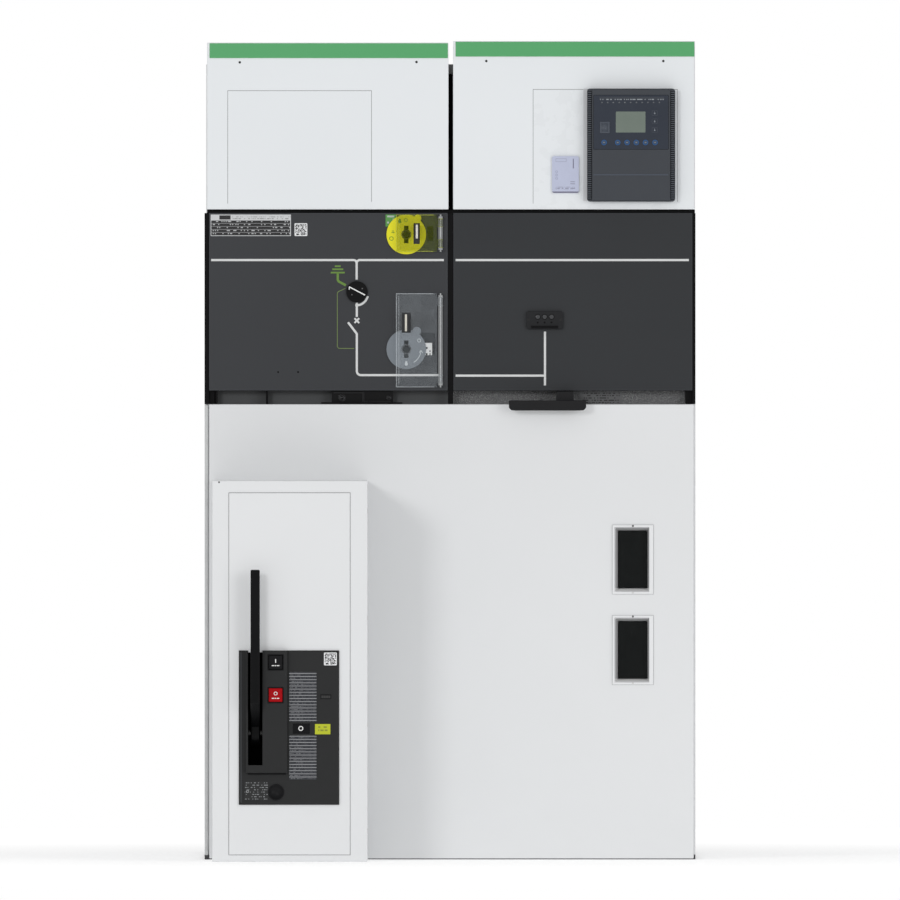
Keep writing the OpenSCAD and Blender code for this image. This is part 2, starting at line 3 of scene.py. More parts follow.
import bmesh
import bpy
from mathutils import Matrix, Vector


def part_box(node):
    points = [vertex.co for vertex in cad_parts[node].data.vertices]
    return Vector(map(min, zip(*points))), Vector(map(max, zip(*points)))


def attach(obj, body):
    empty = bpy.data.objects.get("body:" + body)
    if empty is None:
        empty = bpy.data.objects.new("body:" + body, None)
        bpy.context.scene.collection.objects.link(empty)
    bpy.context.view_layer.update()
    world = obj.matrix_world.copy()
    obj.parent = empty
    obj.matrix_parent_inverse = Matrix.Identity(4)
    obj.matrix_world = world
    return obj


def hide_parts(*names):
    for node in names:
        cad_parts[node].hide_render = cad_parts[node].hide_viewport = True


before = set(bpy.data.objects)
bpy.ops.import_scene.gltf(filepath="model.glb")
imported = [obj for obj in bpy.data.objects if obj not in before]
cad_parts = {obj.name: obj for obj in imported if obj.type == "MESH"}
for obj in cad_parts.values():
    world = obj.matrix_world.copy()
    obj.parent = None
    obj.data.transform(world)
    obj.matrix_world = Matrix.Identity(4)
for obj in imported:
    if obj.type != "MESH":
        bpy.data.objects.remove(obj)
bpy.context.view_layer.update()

# ---------------------------------------------------------------- viewpoint
# Not part of the cubicle. The camera stands far off, square to the front,
# so that the doors and plates show at their true proportions.
cubicle_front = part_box("lower_front_panel")[0].y
sensor_width = 36
camera_lens = 1000
seen_width = 1.7595
camera_height = 0.8006
camera_distance = seen_width * camera_lens / sensor_width

bpy.ops.object.camera_add(
    location=(0, cubicle_front - camera_distance, camera_height), rotation=(math.pi / 2, 0, 0))
camera = bpy.context.object
camera.data.sensor_width = sensor_width
camera.data.lens = camera_lens
camera.data.clip_start = 1
camera.data.clip_end = 4 * camera_distance
bpy.context.scene.camera = camera
bpy.context.scene.view_settings.view_transform = "Standard"

# ---------------------------------------------------------------- studio
# Not part of the cubicle: a pale matt floor, a white surround, a soft lamp
# high on the left that gives the shadows, and a weaker one on the right.
lamp_distance = 6.0
aim_height = 0.9
key_lamp = {"side": -24, "height": 12, "width": 1.0, "power": 58}
fill_lamp = {"side": 38, "height": 6, "width": 2.4, "power": 58}


def hang_lamp(name, side, height, width, power):
    """A square soft lamp, turned by side and height in degrees from straight in front."""
    across, up = math.radians(side), math.radians(height)
    away = Vector((math.sin(across) * math.cos(up), -math.cos(across) * math.cos(up), math.sin(up)))
    bpy.ops.object.light_add(type="AREA", location=away * lamp_distance + Vector((0, 0, aim_height)))
    lamp = bpy.context.object
    lamp.name = name
    lamp.rotation_euler = away.to_track_quat("Z", "Y").to_euler()
    lamp.data.size = width
    lamp.data.energy = power
    lamp.visible_camera = False


hang_lamp("key_lamp", **key_lamp)
hang_lamp("fill_lamp", **fill_lamp)

surround_light = 0.64
world = bpy.data.worlds.new("white surround")
world.use_nodes = True
bpy.context.scene.world = world
surround = world.node_tree.nodes["Background"]
surround.inputs["Color"].default_value = (1, 1, 1, 1)
seen_directly = world.node_tree.nodes.new("ShaderNodeLightPath")
surround_strength = world.node_tree.nodes.new("ShaderNodeMapRange")
surround_strength.inputs["To Min"].default_value = surround_light
surround_strength.inputs["To Max"].default_value = 1.0
world.node_tree.links.new(seen_directly.outputs["Is Camera Ray"], surround_strength.inputs["Value"])
world.node_tree.links.new(surround_strength.outputs["Result"], surround.inputs["Strength"])


class Wire:
    """One output in a material. Sums and comparisons written on it add Math nodes."""

    def __init__(self, finish, socket):
        self.finish = finish
        self.socket = socket

    def maths(self, operation, *numbers):
        return self.finish.node("ShaderNodeMath", {"operation": operation}, dict(enumerate(numbers)))

    def __add__(self, other):
        return self.maths("ADD", self, other)

    def __sub__(self, other):
        return self.maths("SUBTRACT", self, other)

    def __rsub__(self, other):
        return self.maths("SUBTRACT", other, self)

    def __mul__(self, other):
        return self.maths("MULTIPLY", self, other)

    def __truediv__(self, other):
        return self.maths("DIVIDE", self, other)

    def __lt__(self, other):
        return self.maths("LESS_THAN", self, other)

    def __gt__(self, other):
        return self.maths("GREATER_THAN", self, other)

    __radd__ = __add__
    __rmul__ = __mul__


class Finish:
    """One material: its Principled shader, with fixed values set on it, and object coordinates."""

    def __init__(self, name, fixed):
        self.material = bpy.data.materials.new(name)
        self.material.use_nodes = True
        self.tree = self.material.node_tree
        self.shader = self.tree.nodes["Principled BSDF"]
        for socket, value in fixed.items():
            self.shader.inputs[socket].default_value = value
        self.place = self.node("ShaderNodeTexCoord", output="Object")
        self.x, self.y, self.z = (
            self.node("ShaderNodeSeparateXYZ", sockets={0: self.place}, output=axis) for axis in range(3))

    def node(self, kind, settings=None, sockets=None, output=0):
        """Any node: its settings come first, then the values or links of its sockets."""
        made = self.tree.nodes.new(kind)
        for name, value in (settings or {}).items():
            setattr(made, name, value)
        for name, value in (sockets or {}).items():
            if isinstance(value, Wire):
                self.tree.links.new(value.socket, made.inputs[name])
            else:
                made.inputs[name].default_value = value
        return Wire(self, made.outputs[output])

    def feed(self, socket, wire):
        """Links a wire to the shader, or sets the socket where the value is the same all over."""
        if isinstance(wire, Wire):
            self.tree.links.new(wire.socket, self.shader.inputs[socket])
        else:
            self.shader.inputs[socket].default_value = wire

    def mix(self, share, first, second):
        """A colour between two, each a wire or red, green and blue."""
        colours = {6: first, 7: second}
        for key, colour in colours.items():
            if not isinstance(colour, Wire):
                colours[key] = (*colour, 1)
        return self.node("ShaderNodeMix", {"data_type": "RGBA"}, {0: share, **colours}, output=2)

    def noise(self, scale, detail=2.0):
        return self.node("ShaderNodeTexNoise", None,
            {"Vector": self.place, "Scale": scale, "Detail": detail})

    def fade(self, value, start, end):
        """1 up to start, falling to 0 at end."""
        return self.node("ShaderNodeMapRange", None, {
            "Value": value, "From Min": start, "From Max": end, "To Min": 1, "To Max": 0})

    def bump(self, height, distance, strength=1.0):
        relief = self.node("ShaderNodeBump", None, {
            "Strength": strength, "Distance": distance, "Height": height})
        self.feed("Normal", relief)

    def edge_distance(self, low, high):
        """How far a point on a box lies from the nearest edge of that box, in metres."""
        reach = []
        for axis, least, most in zip((self.x, self.y, self.z), low, high):
            reach.append((axis - least).maths("MINIMUM", axis - least, most - axis))
        first, second, third = reach
        nearer = first.maths("MINIMUM", first, second)
        farther = first.maths("MAXIMUM", first, second)
        return nearer.maths("MAXIMUM", nearer, farther.maths("MINIMUM", farther, third))


def clear_selection():
    """Leaves edit mode and selects nothing."""
    if bpy.context.object and bpy.context.object.mode != "OBJECT":
        bpy.ops.object.mode_set(mode="OBJECT")
    bpy.ops.object.select_all(action="DESELECT")


floor_size = 7.0
floor_grain = 60
floor_fade_start = 0.75
floor_fade_end = 1.9
floor_finish = Finish("pale floor", {"Roughness": 0.85, "Specular IOR Level": 0.1, "Emission Strength": 1.0})
from_middle = floor_finish.node("ShaderNodeVectorMath", {"operation": "LENGTH"},
    {0: floor_finish.place}, output=1)
near = floor_finish.fade(from_middle, floor_fade_start, floor_fade_end)
floor_paint = floor_finish.mix(floor_finish.noise(floor_grain), (0.86,) * 3, (0.9,) * 3)
floor_finish.feed("Base Color", floor_finish.mix(near, (0, 0, 0), floor_paint))
floor_finish.feed("Emission Color", floor_finish.mix(near, (1, 1, 1), (0.30, 0.30, 0.30)))
clear_selection()
bpy.ops.mesh.primitive_plane_add(size=floor_size)
floor = bpy.context.object
floor.name = "studio_floor"
floor.data.materials.append(floor_finish.material)

# ---------------------------------------------------------------- base frame and floor plate
# A folded steel frame with bolting flanges, sprayed satin black, and the
# galvanised floor plate that lies on it. Both are cut, bent and drilled sheet.
MM = 0.001


def select_only(piece):
    clear_selection()
    piece.select_set(True)
    bpy.context.view_layer.objects.active = piece


def fit(piece, finish, body="cubicle"):
    """Paints a piece and hangs it on the body that it moves with."""
    piece.data.materials.clear()
    piece.data.materials.append(finish)
    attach(piece, body)


def round_edges(piece, width, segments=2, sharper_than=38):
    """Breaks every edge that is sharper than an angle by a bevel so many millimetres wide."""
    select_only(piece)
    bevel = piece.modifiers.new("broken edges", "BEVEL")
    bevel.width = width * MM
    bevel.segments = segments
    bevel.limit_method = "ANGLE"
    bevel.angle_limit = math.radians(sharper_than)
    bpy.ops.object.modifier_apply(modifier=bevel.name)
    bpy.ops.object.shade_smooth_by_angle(angle=math.radians(32))
    flat_faces = piece.modifiers.new("flat faces", "WEIGHTED_NORMAL")
    flat_faces.keep_sharp = True
    bpy.ops.object.modifier_apply(modifier=flat_faces.name)


def refine(node, name, width, segments=2, rework=None):
    """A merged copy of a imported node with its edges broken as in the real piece. It stands for the node,
    and rework shapes it further before the edges are broken."""
    piece = bpy.data.objects.new(name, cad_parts[node].data.copy())
    bpy.context.scene.collection.objects.link(piece)
    select_only(piece)
    bpy.ops.mesh.customdata_custom_splitnormals_clear()
    bpy.ops.object.mode_set(mode="EDIT")
    bpy.ops.mesh.select_all(action="SELECT")
    bpy.ops.mesh.remove_doubles(threshold=0.00002)
    bpy.ops.mesh.dissolve_limited(angle_limit=math.radians(1))
    bpy.ops.object.mode_set(mode="OBJECT")
    if rework:
        rework(piece)
    round_edges(piece, width, segments)
    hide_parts(node)
    return piece


def tone(colour, by):
    """A colour made so many times lighter."""
    return [min(1, part * by) for part in colour]


def enamel(name, colour, box, roughness=0.42, wear=0.35, worn_colour=None, shine=0.45):
    """Baked powder paint: faint orange peel, a slightly uneven coat, thin and rubbed at the edges."""
    finish = Finish(name, {"Specular IOR Level": shine})
    cloud = finish.noise(2.3, 3)
    peel = finish.noise(700, 2)
    scuffs = finish.noise(38, 6)
    rubbed = finish.fade(finish.edge_distance(*box), 0.0002, 0.0026) * (scuffs > 0.54) * wear
    shade = finish.mix(cloud, tone(colour, 0.965), tone(colour, 1.03))
    bare = worn_colour or tone(colour, 0.72)
    finish.feed("Base Color", finish.mix(rubbed, shade, bare))
    finish.feed("Roughness", roughness + (scuffs - 0.5) * 0.16 + (peel - 0.5) * 0.08)
    finish.bump(peel, 0.00006, 0.35)
    return finish.material


def bare_metal(name, colour, box, roughness=0.38, spangle=90):
    """Bare or zinc-coated steel: crystals of a slightly different grey, duller at the edges."""
    finish = Finish(name, {"Metallic": 0.9})
    crystals = finish.node("ShaderNodeTexVoronoi", None, {"Vector": finish.place, "Scale": spangle},
        output="Color")
    grey = finish.node("ShaderNodeRGBToBW", None, {0: crystals})
    fine = finish.noise(420, 3)
    dull = finish.fade(finish.edge_distance(*box), 0.0003, 0.003) * 0.4
    shade = finish.mix(grey, tone(colour, 0.86), tone(colour, 1.1))
    finish.feed("Base Color", finish.mix(dull, shade, tone(colour, 0.6)))
    finish.feed("Roughness", roughness + grey * 0.12 + fine * 0.08)
    finish.bump(fine, 0.00004, 0.3)
    return finish.material


base_black = (0.03, 0.03, 0.033)
zinc_grey = (0.55, 0.56, 0.57)
base = refine("base_frame", "base_frame_folded", 0.6)
fit(base, enamel("base black", base_black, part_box("base_frame"), 0.5))
floor_sheet = refine("floor_plate", "floor_plate_sheet", 0.4)
fit(floor_sheet, bare_metal("floor zinc", zinc_grey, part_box("floor_plate")))

# ---------------------------------------------------------------- outer sheets
# Side, rear and roof sheets, bent from steel and powder coated light grey.
# Countersunk screws, their heads flush, hold them to the frame at the edges.
outer_grey = (0.70, 0.71, 0.72)
fold_radius = 1.6
for node in ("left_side_panel", "right_side_panel", "rear_panel", "roof_panel"):
    sheet = refine(node, node + "_sheet", fold_radius, 3)
    fit(sheet, enamel(node.replace("_", " ") + " paint", outer_grey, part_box(node), 0.45))

screw_radius = 5.5
screw_proud = 0.5
screw_depth = 2.5
screw_steel = (0.62, 0.62, 0.61)
to_front = Vector((0, -1, 0))


def pick(piece, wanted, kind="FACE"):
    """Opens a piece for editing with only those faces or edges chosen that pass the test."""
    select_only(piece)
    bpy.ops.object.mode_set(mode="EDIT")
    bpy.ops.mesh.select_mode(type=kind)
    bpy.ops.mesh.select_all(action="DESELECT")
    shape = bmesh.from_edit_mesh(piece.data)
    for part in shape.faces if kind == "FACE" else shape.edges:
        part.select_set(wanted(part))
    bmesh.update_edit_mesh(piece.data)


def turned(name, centre, out, radius, proud, sunk, sides=32, edge=0.3):
    """A round piece on a face: centre is on the face, out is the way that it faces. Millimetres."""
    clear_selection()
    out = Vector(out)
    bpy.ops.mesh.primitive_cylinder_add(
        vertices=sides, radius=radius * MM, depth=(proud + sunk) * MM,
        location=centre + out * ((proud - sunk) / 2 * MM), rotation=out.to_track_quat("Z", "Y").to_euler())
    bpy.ops.object.transform_apply(location=True, rotation=True, scale=True)
    piece = bpy.context.object
    piece.name = name
    if edge:
        round_edges(piece, edge)
    return piece


def copy_to(piece, move):
    """A copy with a mesh of its own, moved from where the first one is."""
    select_only(piece)
    bpy.ops.object.duplicate(linked=False)
    bpy.ops.transform.translate(value=move)
    bpy.ops.object.transform_apply(location=True, rotation=True, scale=True)
    return bpy.context.object


def join(name, parts):
    """Several pieces made into one mesh."""
    select_only(parts[0])
    for part in parts:
        part.select_set(True)
    if len(parts) > 1:
        bpy.ops.object.join()
    bpy.context.object.name = name
    return bpy.context.object


def sink(piece, rim, depth, facing=to_front):
    """Presses in the middle of the largest face on one side, leaving a rim round it. Millimetres."""
    on_side = [face.area for face in piece.data.polygons if face.normal.dot(facing) > 0.99]
    pick(piece, lambda face: face.normal.dot(facing) > 0.99 and face.calc_area() > 0.95 * max(on_side))
    bpy.ops.mesh.inset(thickness=rim * MM, depth=0)
    bpy.ops.mesh.extrude_region_move(TRANSFORM_OT_translate={"value": facing * -depth * MM})
    bpy.ops.object.mode_set(mode="OBJECT")


def screw_head(name, centre, out, radius=screw_radius, proud=screw_proud):
    """A low screw head with a round drive pressed into it."""
    head = turned(name, centre, out, radius, proud, screw_depth, 24, 0.25)
    sink(head, radius * 0.55, 1.4, Vector(out))
    return head


def screw_row(name, start, end, count, out, **head):
    """Screws at even steps from start to end, both included, as one piece."""
    first = screw_head(name, start, out, **head)
    step = (end - start) / (count - 1)
    return join(name, [first] + [copy_to(first, step * turn) for turn in range(1, count)])


screw_inset = 0.022
rear_row_end = 0.22
rear_low, rear_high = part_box("rear_panel")
rear_y = rear_high.y
rear_rows = []
for side, x in (("left", rear_low.x + screw_inset), ("right", rear_high.x - screw_inset)):
    rear_rows.append(screw_row(
        "rear_screws_" + side, Vector((x, rear_y, rear_low.z + screw_inset)),
        Vector((x, rear_y, rear_high.z - screw_inset)), 8, (0, 1, 0)))
for side, z in (("low", rear_low.z + screw_inset), ("high", rear_high.z - screw_inset)):
    rear_rows.append(screw_row(
        "rear_screws_" + side, Vector((rear_low.x + rear_row_end, rear_y, z)),
        Vector((rear_high.x - rear_row_end, rear_y, z)), 3, (0, 1, 0)))
rear_screws = join("rear_screws", rear_rows)
fit(rear_screws, bare_metal("screw zinc", screw_steel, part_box("rear_panel"), 0.3, 400))

roof_low, roof_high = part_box("roof_panel")
roof_rows = [screw_row(
    "roof_screws", Vector((x, roof_low.y + screw_inset, roof_high.z)),
    Vector((x, roof_high.y - screw_inset, roof_high.z)), 4, (0, 0, 1))
    for x in (roof_low.x + screw_inset, 0, roof_high.x - screw_inset)]
fit(join("roof_screws", roof_rows),
    bare_metal("roof screw zinc", screw_steel, (roof_low, roof_high), 0.3, 400))

# ---------------------------------------------------------------- busbar wall and low-voltage shelf
# Two thin sheets inside the front: the wall that shuts the busbars in and
# the shelf that the low-voltage boxes stand on. Both are riveted and black;
# the shelf's black paints the shade in the gap between the mimic panels and the low-voltage boxes.
black_and_gap_shade = (0.004, 0.004, 0.0045)
for node in ("busbar_front_wall", "lv_shelf"):
    sheet = refine(node, node + "_sheet", 0.5)
    fit(sheet, enamel(node.replace("_", " ") + " black", black_and_gap_shade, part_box(node), 0.55, 0.1, shine=0.1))

# ---------------------------------------------------------------- lower front panel
# One wide steel pan across both columns, folded back at its edges and
# powder coated light grey. It hooks in at the foot and lifts off.
front_grey = (0.70, 0.71, 0.72)
panel_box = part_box("lower_front_panel")
lower_panel = refine("lower_front_panel", "lower_front_pan", 1.8, 3)
fit(lower_panel, enamel("front paint", front_grey, panel_box, 0.4, 0.2))


class Front:
    """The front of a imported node. Points on it are millimetres right of and above its
    lower left corner; back moves the plane behind the node's foremost point."""

    def __init__(self, node, back=0):
        self.low, self.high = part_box(node)
        self.plane = self.low.y + back * MM

    def at(self, right, up, out=0):
        return Vector((self.low.x + right * MM, self.plane - out * MM, self.low.z + up * MM))

    def span(self, left, right, bottom, top, proud, sunk=0):
        """The two corners of a box on this front, standing proud of it and sunk behind it."""
        return self.at(left, bottom, proud), self.at(right, top, -sunk)


def block(name, low, high):
    """A block between two corners."""
    clear_selection()
    bpy.ops.mesh.primitive_cube_add(size=1, location=(low + high) / 2, scale=high - low)
    bpy.ops.object.transform_apply(location=True, rotation=True, scale=True)
    piece = bpy.context.object
    piece.name = name
    return piece


def runs_back(line):
    """True of an edge that runs straight from front to back."""
    return abs((line.verts[0].co - line.verts[1].co).normalized().y) > 0.9


def plate(name, corners, corner=0, edge=0.15):
    """A plate on a front, its four upright corners rounded and then all its edges broken."""
    piece = block(name, *corners)
    if corner:
        pick(piece, runs_back, "EDGE")
        bpy.ops.mesh.bevel(offset=corner * MM, offset_type="OFFSET", segments=6, affect="EDGES")
        bpy.ops.object.mode_set(mode="OBJECT")
    round_edges(piece, edge)
    return piece


def hollow(piece, rim):
    """Takes the middle out of a disc or plate that faces front, leaving a rim of that width."""
    pick(piece, lambda face: abs(face.normal.y) > 0.9)
    bpy.ops.mesh.inset(thickness=rim * MM, depth=0)
    bpy.ops.mesh.bridge_edge_loops()
    bpy.ops.object.mode_set(mode="OBJECT")


def frame_ring(name, corners, rim, edge=0.4, corner=0):
    """A flat frame: a plate with its middle taken out, leaving a rim of that width."""
    piece = block(name, *corners)
    hollow(piece, rim)
    if corner:
        inner_left, inner_right = corners[0].x + rim * MM / 2, corners[1].x - rim * MM / 2
        pick(piece,
            lambda line: runs_back(line) and not inner_left < line.verts[0].co.x < inner_right, "EDGE")
        bpy.ops.mesh.bevel(offset=corner * MM, offset_type="OFFSET", segments=5, affect="EDGES")
        bpy.ops.object.mode_set(mode="OBJECT")
    round_edges(piece, edge)
    return piece


# The narrow pale joint cover down the panel's left side hides the gap to the side sheet.
panel_front = Front("lower_front_panel")
joint_strip = plate("left_joint_strip", panel_front.span(-7.5, -2.2, 4, 886, -1.5, 14), 0, 0.8)
fit(joint_strip, enamel("joint strip paint", (0.52, 0.53, 0.53), panel_box, 0.45))
levelling_foot = plate("left_corner_foot", panel_front.span(-8.5, 1, -2, 6.5, -0.8, 20), 0, 0.6)
fit(levelling_foot, enamel("foot black", base_black, panel_box, 0.5))

# ---------------------------------------------------------------- viewing windows
# Two small windows onto the cable ends: a painted frame screwed on at its
# top and bottom, its sloping sides a darker grey that paints the shade of the reveal,
# lighter low down as a painted highlight where light falls on the lower slope, and behind it a
# pane of dark tinted glass.
frame_grey = (0.74, 0.75, 0.76)
reveal_shade_grey = (0.42, 0.425, 0.43)
reveal_lit_grey = (0.68, 0.68, 0.68)
outline_grey = (0.34, 0.345, 0.35)
front_rim = 4.1
glass_tint = (0.003, 0.004, 0.004)


def window_glass_finish(name):
    """Dark tinted safety glass with a film of dust."""
    finish = Finish(name,
        {"IOR": 1.5, "Specular IOR Level": 0.12, "Coat Weight": 0.05, "Coat Roughness": 0.04})
    dust = finish.noise(55, 5)
    finish.feed("Base Color", finish.mix(dust, glass_tint, (0.007, 0.008, 0.008)))
    finish.feed("Roughness", 0.08 + dust * 0.1)
    finish.feed("Alpha", 0.93 + dust * 0.07)
    return finish.material


def moulding(name, colour, roughness=0.45, grain=650, relief=0.05, shine=0.4):
    """Moulded plastic: a fine sandblasted grain with slightly shinier rubbed patches."""
    finish = Finish(name, {"Specular IOR Level": shine})
    patches = finish.noise(17, 4)
    skin = finish.noise(grain, 2)
    dark, light = tone(colour, 0.9), [min(1, part * 1.1 + 0.001) for part in colour]
    finish.feed("Base Color", finish.mix(patches * 0.7 + skin * 0.3, dark, light))
    finish.feed("Roughness", roughness + (patches - 0.5) * 0.18 + (skin - 0.5) * 0.1)
    finish.bump(skin, relief * MM, 0.5)
    return finish.material


def lined_frame_finish(name, front, foot):
    """Grey powder paint on the frame's face, a darker grey from just behind it that paints the shade of the
    reveal, and a painted highlight on its lower slope.
    """
    finish = Finish(name, {"Specular IOR Level": 0.4})
    cloud = finish.noise(9, 3)
    peel = finish.noise(700, 2)
    behind = finish.y > front + 0.0008
    paint = finish.mix(cloud, tone(frame_grey, 0.96), frame_grey)
    clean = finish.mix(cloud, tone(reveal_shade_grey, 0.85), reveal_shade_grey)
    # Painted highlight: the sloping sides are lighter within 11.5 mm of the frame's foot, for the light that
    # falls on the lower slope.
    rubber = finish.mix(finish.z < foot + 0.0115, clean, reveal_lit_grey)
    finish.feed("Base Color", finish.mix(behind, paint, rubber))
    finish.feed("Roughness", 0.42 + behind * 0.15 + (peel - 0.5) * 0.1)
    finish.bump(peel, 0.00006, 0.35)
    return finish.material


small_steel = bare_metal("small screw zinc", screw_steel, panel_box, 0.32, 900)
dark_screw = moulding("blackened screw", (0.02, 0.02, 0.02), 0.4, shine=0.2)
for storey in ("upper", "lower"):
    node = storey + "_window_frame"
    window = Front(node)
    pane = Front(storey + "_window_glass")
    outer = block(node + "_lined", window.low, window.high)
    back_rim = (pane.low.x - window.low.x) / MM
    for side, rim in ((-1, front_rim), (1, back_rim)):
        pick(outer, lambda face: face.normal.y * side > 0.9)
        bpy.ops.mesh.inset(thickness=rim * MM, depth=0)
    edge_room = front_rim * MM / 2
    pick(outer, lambda face: abs(face.normal.y) > 0.9 and all(
        window.low.x + edge_room < corner.co.x < window.high.x - edge_room for corner in face.verts))
    bpy.ops.mesh.bridge_edge_loops()
    inner_right = window.high.x - front_rim * MM
    pick(outer, lambda line: all(abs(corner.co.x - inner_right) < 1e-5 for corner in line.verts), "EDGE")
    bpy.ops.transform.translate(value=(-3.9 * MM, 0, 0))
    bpy.ops.object.mode_set(mode="OBJECT")
    round_edges(outer, 0.5)
    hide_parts(node)
    fit(outer, lined_frame_finish(storey + " window paint", window.plane, window.low.z))
    width = (window.high.x - window.low.x) / MM
    height = (window.high.z - window.low.z) / MM
    outline = frame_ring(storey + "_window_outline",
        window.span(-0.6, width + 0.6, -0.6, height + 0.6, -2.1, 2.6), 0.9, 0.1)
    fit(outline, moulding(storey + " outline rubber", outline_grey, 0.6))
    glazing = refine(storey + "_window_glass", storey + "_window_pane", 0.5)
    fit(glazing, window_glass_finish(storey + " tinted glass"))
    # The top screw takes the blackened finish and the foot screw bare steel: painted shade at the top of the
    # frame and painted light at its foot.
    for end, up, look in (("top", height - 1.9, dark_screw), ("foot", 2.8, small_steel)):
        head = screw_head(storey + "_window_screw_" + end, window.at(width / 2, up), to_front,
            radius=1.9, proud=0.5)
        fit(head, look)

# ---------------------------------------------------------------- breaker enclosure
# The circuit breaker's mechanism box: a folded steel box on the lower left,
# closed by a screwed cover, both powder coated like the panel behind.
enclosure_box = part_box("breaker_enclosure")
enclosure = refine("breaker_enclosure", "breaker_enclosure_box", 1.6, 3)
fit(enclosure, enamel("enclosure paint", front_grey, enclosure_box, 0.4, 0.25))
cover = refine("enclosure_cover", "enclosure_cover_sheet", 0.7)
fit(cover, enamel("cover paint", front_grey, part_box("enclosure_cover"), 0.4, 0.2))

enclosure_front = Front("breaker_enclosure")
cover_front = Front("enclosure_cover")
cover_joint = frame_ring("enclosure_cover_joint", (
    Vector((cover_front.low.x - MM, enclosure_front.plane - 0.25 * MM, cover_front.low.z - MM)),
    Vector((cover_front.high.x + MM, enclosure_front.plane, cover_front.high.z + MM))), 1.2, 0.08)
fit(cover_joint, moulding("cover joint sealant", (0.22, 0.22, 0.225), 0.6))
vent_hole = turned("enclosure_vent_plug", enclosure_front.at(13.6, 738), to_front, 1.7, 0.3, 2, 20, 0.2)
fit(vent_hole, moulding("vent plug plastic", (0.03, 0.03, 0.03), shine=0.2))
side_screw_y = enclosure_box[0].y + 0.035
side_screw_end = 0.06
side_screws = screw_row(
    "enclosure_side_screws",
    Vector((enclosure_box[1].x, side_screw_y, enclosure_box[0].z + side_screw_end)),
    Vector((enclosure_box[1].x, side_screw_y, enclosure_box[1].z - side_screw_end)),
    4, (1, 0, 0), radius=4, proud=0.8)
fit(side_screws, small_steel)

# ---------------------------------------------------------------- breaker control fascia
# A moulded dark grey plastic fascia on the mechanism, with a raised field
# for the lever and buttons, printed plates, a plug and a counter window.
fascia_grey = (0.020, 0.0205, 0.021)
button_field = 10
fascia = refine("control_fascia", "control_fascia_moulding", 0.9)
fit(fascia, moulding("fascia plastic", fascia_grey, 0.5, 520, 0.07, 0.15))
fascia_front = Front("control_fascia", button_field)
field_front = Front("control_fascia")
fascia_trim = moulding("fascia inset plastic", (0.008, 0.0082, 0.009), 0.42, shine=0.1)


def print_marks(finish, along, up, pitch, height, dash, share, seed=0.0):
    """Rows of small printed dashes of chance lengths, 1 on the ink and 0 between. Sizes are in metres,
    and share is how much of a row is inked."""
    row = up / pitch
    step = along / dash
    spot = finish.node("ShaderNodeCombineXYZ", None, {
        0: step.maths("FLOOR", step), 1: row.maths("FLOOR", row), 2: seed})
    chance = finish.node("ShaderNodeTexWhiteNoise", {"noise_dimensions": "3D"}, {"Vector": spot})
    in_row = row.maths("FRACT", row) < height / pitch
    return in_row * (chance > 1 - share)


def dash_rows(low, left, right, *row):
    """Marks for a label: rows of chance dashes counted from its corner, between two places right of it."""
    return lambda made: print_marks(made, made.x - low.x, made.z - low.z, *row) * between(
        made.x, low.x + left, low.x + right)


def between(wire, low, high):
    """1 where a value lies between two others."""
    return (wire > low) * (wire < high)


def printed(name, paper, ink, marks, roughness=0.35):
    """A printed film: marks is a function of the finish, x and z that gives where the ink lies."""
    finish = Finish(name, {"Specular IOR Level": 0.4})
    haze = finish.noise(60, 3)
    ground = finish.mix(haze, tone(paper, 0.93), tone(paper, 1.05))
    covered = marks(finish)
    finish.feed("Base Color", finish.mix(covered, ground, ink))
    finish.feed("Roughness", roughness + haze * 0.08)
    finish.bump(covered + haze * 0.4, 0.00004, 0.3)
    return finish.material


ink_white = (0.62, 0.63, 0.65)
ink_black = (0.012, 0.012, 0.012)
film = 0.25
plate_blue = (0.020, 0.022, 0.028)
nameplates = [
    plate("fascia_data_plate_high", fascia_front.span(98, 151, 161.5, 258, film), 1.2, 0.08),
    plate("fascia_data_plate_low", fascia_front.span(98, 151, 49, 134, film), 1.2, 0.08)]


data_pitch = 0.0061


def data_rows(made):
    """Ruled lines with dimmer words between them."""
    ruled = print_marks(made, made.x, made.z, data_pitch, 0.0007, 0.2, 1.1)
    words = print_marks(made, made.x, made.z - 0.0027, data_pitch, 0.0012, 0.0017, 0.45, 8.0)
    first_column = made.x < fascia_front.at(124, 0).x
    return ruled * 0.75 + words * (0.08 + first_column * 0.16)


fit(join("fascia_data_plates", nameplates),
    printed("data plate print", plate_blue, ink_white, data_rows))


def code_square(name, front, left, bottom, size):
    """A white label with a generic square of chance black cells. It says nothing."""
    label = plate(name, front.span(left, left + size, bottom, bottom + size, film), 1.6, 0.08)
    cells = 21
    cell = size * MM / cells
    rim = 1.6 * MM
    low = front.at(left, bottom)
    high = front.at(left + size, bottom + size)

    def marks(made):
        inside = between(made.x, low.x + rim, high.x - rim) * between(made.z, low.z + rim, high.z - rim)
        return inside * print_marks(made, made.x - low.x, made.z - low.z, cell, cell, cell, 0.5, 3.0)

    fit(label, printed(name + " print", (0.74, 0.75, 0.76), ink_black, marks, 0.3))


code_square("fascia_code_label", fascia_front, 165.5, 271, 25)

pictogram = plate("fascia_pictogram_label", fascia_front.span(11.5, 56.5, 9, 45, film), 1.5, 0.08)
fit(pictogram, printed(
    "pictogram print", (0.010, 0.0105, 0.011), (0.22, 0.23, 0.24),
    lambda made: print_marks(made, made.x, made.z, 0.0045, 0.0014, 0.0016, 0.38, 7.0)))
pictogram_ring = turned("fascia_pictogram_ring", fascia_front.at(17, 26), to_front, 2.6,
    film + 0.2, 0, 24, 0)
hollow(pictogram_ring, 0.7)
fit(pictogram_ring, moulding("pictogram ring ink", (0.34, 0.35, 0.36), 0.4))

plug = turned("fascia_round_cover", fascia_front.at(72.5, 24.5), to_front, 16, 1.6, 1, 48, 0.5)
sink(plug, 2.4, 0.9)
fit(plug, fascia_trim)
